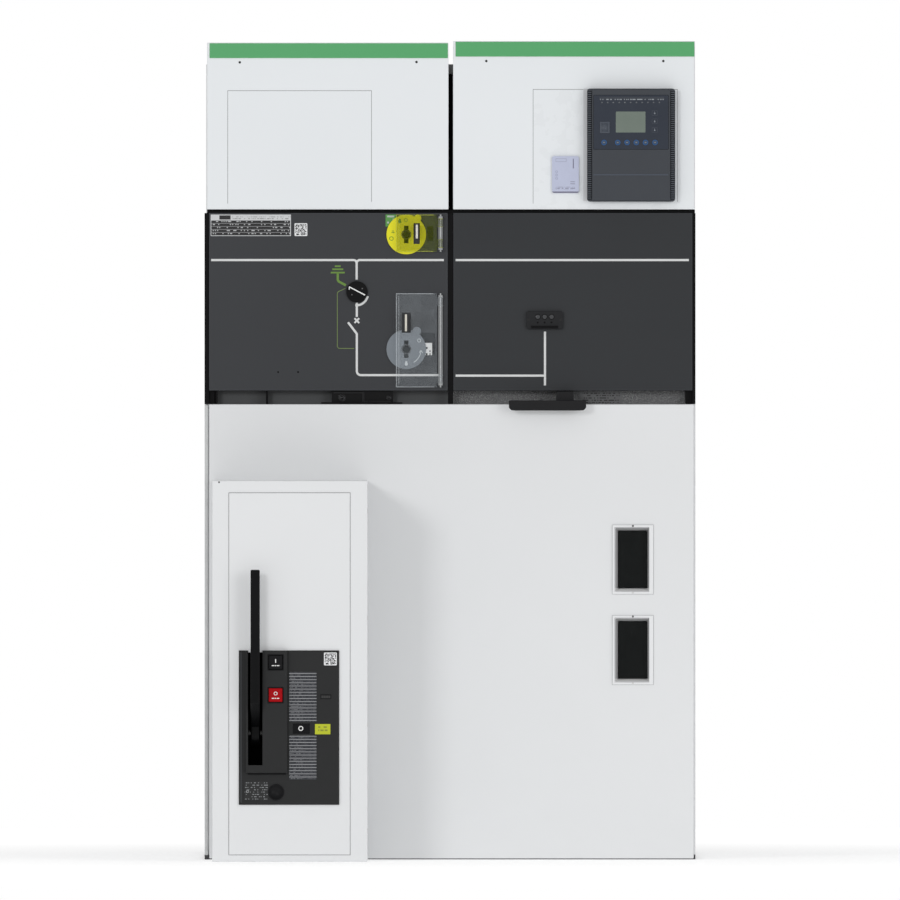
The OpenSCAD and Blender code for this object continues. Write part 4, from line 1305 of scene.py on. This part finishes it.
# ---------------------------------------------------------------- protection relay
# The digital protection relay: a flush moulded case with ribbed sides, a
# membrane with a display, keys and lamps, and a port cover. Clips behind.
case_grey = (0.040, 0.045, 0.054)
relay_rim_step = 5
case = refine("protection_relay", "protection_relay_case", 1.2, 3)
fit(case, moulding("relay case plastic", case_grey, 0.45, 520, 0.06, 0.3))
relay_rim = Front("protection_relay", relay_rim_step)
relay = Front("protection_relay")
channels = [plate("relay_rib_channel", relay_rim.span(left, left + 8.2, 4, 216, 0.15, 1), 1, 0.1)
            for left in (0.9, 162.9)]
fit(join("relay_rib_channels", channels),
    moulding("relay channel plastic", (0.006, 0.007, 0.009), 0.5, shine=0.1))
rib_pitch = 4.05
rib_count = 52
relay_ribs = []
for left in (1.4, 163.5):
    rib = plate("relay_rib", relay_rim.span(left, left + 7, 6, 7.9, 1.0, 1), 0.4, 0.35)
    relay_ribs += [rib] + [copy_to(rib, (0, 0, step * rib_pitch * MM)) for step in range(1, rib_count)]
fit(join("relay_side_ribs", relay_ribs),
    moulding("relay rib plastic", (0.075, 0.084, 0.10), 0.4, shine=0.3))

membrane = [
    plate("relay_membrane_border", relay.span(12, 159.5, 101.5, 208.5, 0.2, 1), 2, 0.1),
    plate("relay_membrane", relay.span(12.9, 158.6, 102.4, 207.6, 0.35, 1), 2, 0.1)]
fit(membrane[0], moulding("membrane border", (0.010, 0.012, 0.016), 0.4, shine=0.15))
fit(membrane[1], moulding("relay membrane film", (0.027, 0.033, 0.047), 0.32, 300, 0.02, 0.25))
display = plate("relay_display", relay.span(56, 114, 135, 176, 0.55, 1), 1.5, 0.15)
display_cell = 0.0009


def display_glass(name):
    """A switched-off liquid crystal display: grey green, with a faint grid of cells."""
    finish = Finish(name, {"Specular IOR Level": 0.4})
    haze = finish.noise(45, 3)
    column, row = finish.x / display_cell, finish.z / display_cell
    between_columns, between_rows = (wire.maths("FRACT", wire) < 0.2 for wire in (column, row))
    grid = between_columns.maths("MAXIMUM", between_columns, between_rows)
    ground = finish.mix(haze, (0.138, 0.170, 0.146), (0.160, 0.194, 0.168))
    finish.feed("Base Color", finish.mix(grid * 0.25, ground, (0.11, 0.13, 0.10)))
    finish.feed("Roughness", 0.14 + haze * 0.08)
    return finish.material


fit(display, display_glass("display glass"))

lamp = turned("relay_lamp", relay.at(29, 193.7), to_front, 1.5, 0.8, 0, 20, 0.5)
relay_lamp_pitch, relay_lamp_count = 11.2, 11
relay_lamps = [lamp] + [
    copy_to(lamp, (step * relay_lamp_pitch * MM, 0, 0)) for step in range(1, relay_lamp_count)]
fit(join("relay_lamps", relay_lamps),
    moulding("relay lamp lens", (0.11, 0.12, 0.13), 0.15, 200, 0.01))
lamp_label = plate("relay_lamp_label", relay.span(24, 150, 198.5, 204.5, 0.45), 0.6, 0.08)
lamp_low = relay.at(24, 198.5)
fit(lamp_label, printed(
    "relay lamp print", (0.030, 0.036, 0.048), (0.24, 0.26, 0.28),
    lambda made: print_marks(made, made.x - lamp_low.x, made.z - lamp_low.z, 0.006, 0.0022, 0.0015, 0.5,
        14.0)))

# The round keys: a blue ring round a grey cap that carries a small pale sign.
key_blue = (0.022, 0.095, 0.26)
key_places = (33, 59.7, 78, 96, 114, 132.6)
key_up = 115.5
key_rings, key_caps = [], []
for right in key_places:
    key_ring = turned("relay_key_ring", relay.at(right, key_up), to_front, 5.3, 1.0, 0, 36, 0.4)
    sink(key_ring, 1.2, 0.5)
    key_rings.append(key_ring)
    key_caps.append(turned("relay_key_cap", relay.at(right, key_up, 0.5), to_front, 3.7, 0.4, 0, 32, 0.2))
fit(join("relay_blue_keys", key_rings), moulding("key blue plastic", key_blue, 0.35, shine=0.2))
fit(join("relay_key_caps", key_caps),
    moulding("key cap plastic", (0.055, 0.075, 0.115), 0.4, shine=0.2))
key_signs = [plate("relay_key_sign", relay.span(right - 1.6, right + 1.6, 114.9, 116.1, 1.0), 0.2, 0.08)
             for right in key_places]
symbol_ups = (173, 157, 140)
for up in symbol_ups:
    key_signs += [
        plate("relay_key_sign", relay.span(130.6, 133.4, up - 2, up + 0.4, 0.6), 0.5, 0.08),
        plate("relay_key_sign", relay.span(131.3, 132.7, up + 1, up + 2.4, 0.6), 0.3, 0.08)]
fit(join("relay_key_signs", key_signs), moulding("relay sign ink", (0.20, 0.22, 0.25), 0.45))
square_keys = [frame_ring("relay_square_key", relay.span(126.5, 137.5, up - 4.9, up + 4.9, 0.6),
    0.6, 0.15, 1.2)
               for up in symbol_ups]
port = plate("relay_port_cover", relay.span(25, 44, 134, 156, 1.2), 0, 0.4)
sink(port, 2.4, 0.6)
lower_step = plate("relay_lower_step", relay.span(12.5, 159, 51, 54, 0.5), 0.6, 0.4)
fit(join("relay_keys_and_port", square_keys + [port, lower_step]),
    moulding("relay port plastic", (0.058, 0.068, 0.088), 0.38, shine=0.3))
gasket_left = plate("relay_side_gasket", right_cover.span(254.5, 262.5, 16, 236, 1.6), 1.5, 0.6)
fit(gasket_left, moulding("relay gasket rubber", (0.60, 0.61, 0.63), 0.55))

# ---------------------------------------------------------------- information card
# A pale plastic card that clips on beside the relay, with generic
# print: a box, a bar, three rings and small dashes, and a dark band along its foot that is painted shade.
card = refine("info_card", "info_card_plate", 0.5)
card_front = Front("info_card")
card_low = card_front.at(0, 0)


def card_marks(made):
    """An outlined box, a bar, two dashes, a row of chance marks, and a dark band along the foot that is
    painted shade.
    """
    across, up = made.x - card_low.x, made.z - card_low.z
    box = between(across, 0.007, 0.028) * between(up, 0.061, 0.0675)
    hole = between(across, 0.0076, 0.0274) * between(up, 0.0616, 0.0669)
    bar = between(across, 0.0405, 0.0425) * between(up, 0.048, 0.067)
    dashes = between(across, 0.0356, 0.0446) * (between(up, 0.0213, 0.0227) + between(up, 0.0173, 0.0187))
    words = between(across, 0.007, 0.045) * between(up, 0.007, 0.012)
    words = words * print_marks(made, across, up, 0.0028, 0.0018, 0.0017, 0.6, 15.0)
    # The last term darkens the bottom 3 mm of the card: painted shade along its foot.
    return box * (1 - hole) * 0.7 + bar + dashes * 0.8 + words * 0.8 + between(up, 0.0, 0.003)


fit(card, printed("card print", (0.47, 0.50, 0.64), (0.17, 0.17, 0.24), card_marks, 0.3))
card_rings = []
for up in (41.5, 35, 28.6):
    ring = turned("card_ring", card_front.at(8.8, up), to_front, 2.3, 0.2, 0, 28, 0)
    hollow(ring, 0.6)
    card_rings.append(ring)
fit(join("card_rings", card_rings), moulding("card ring ink", (0.26, 0.27, 0.38), 0.4))
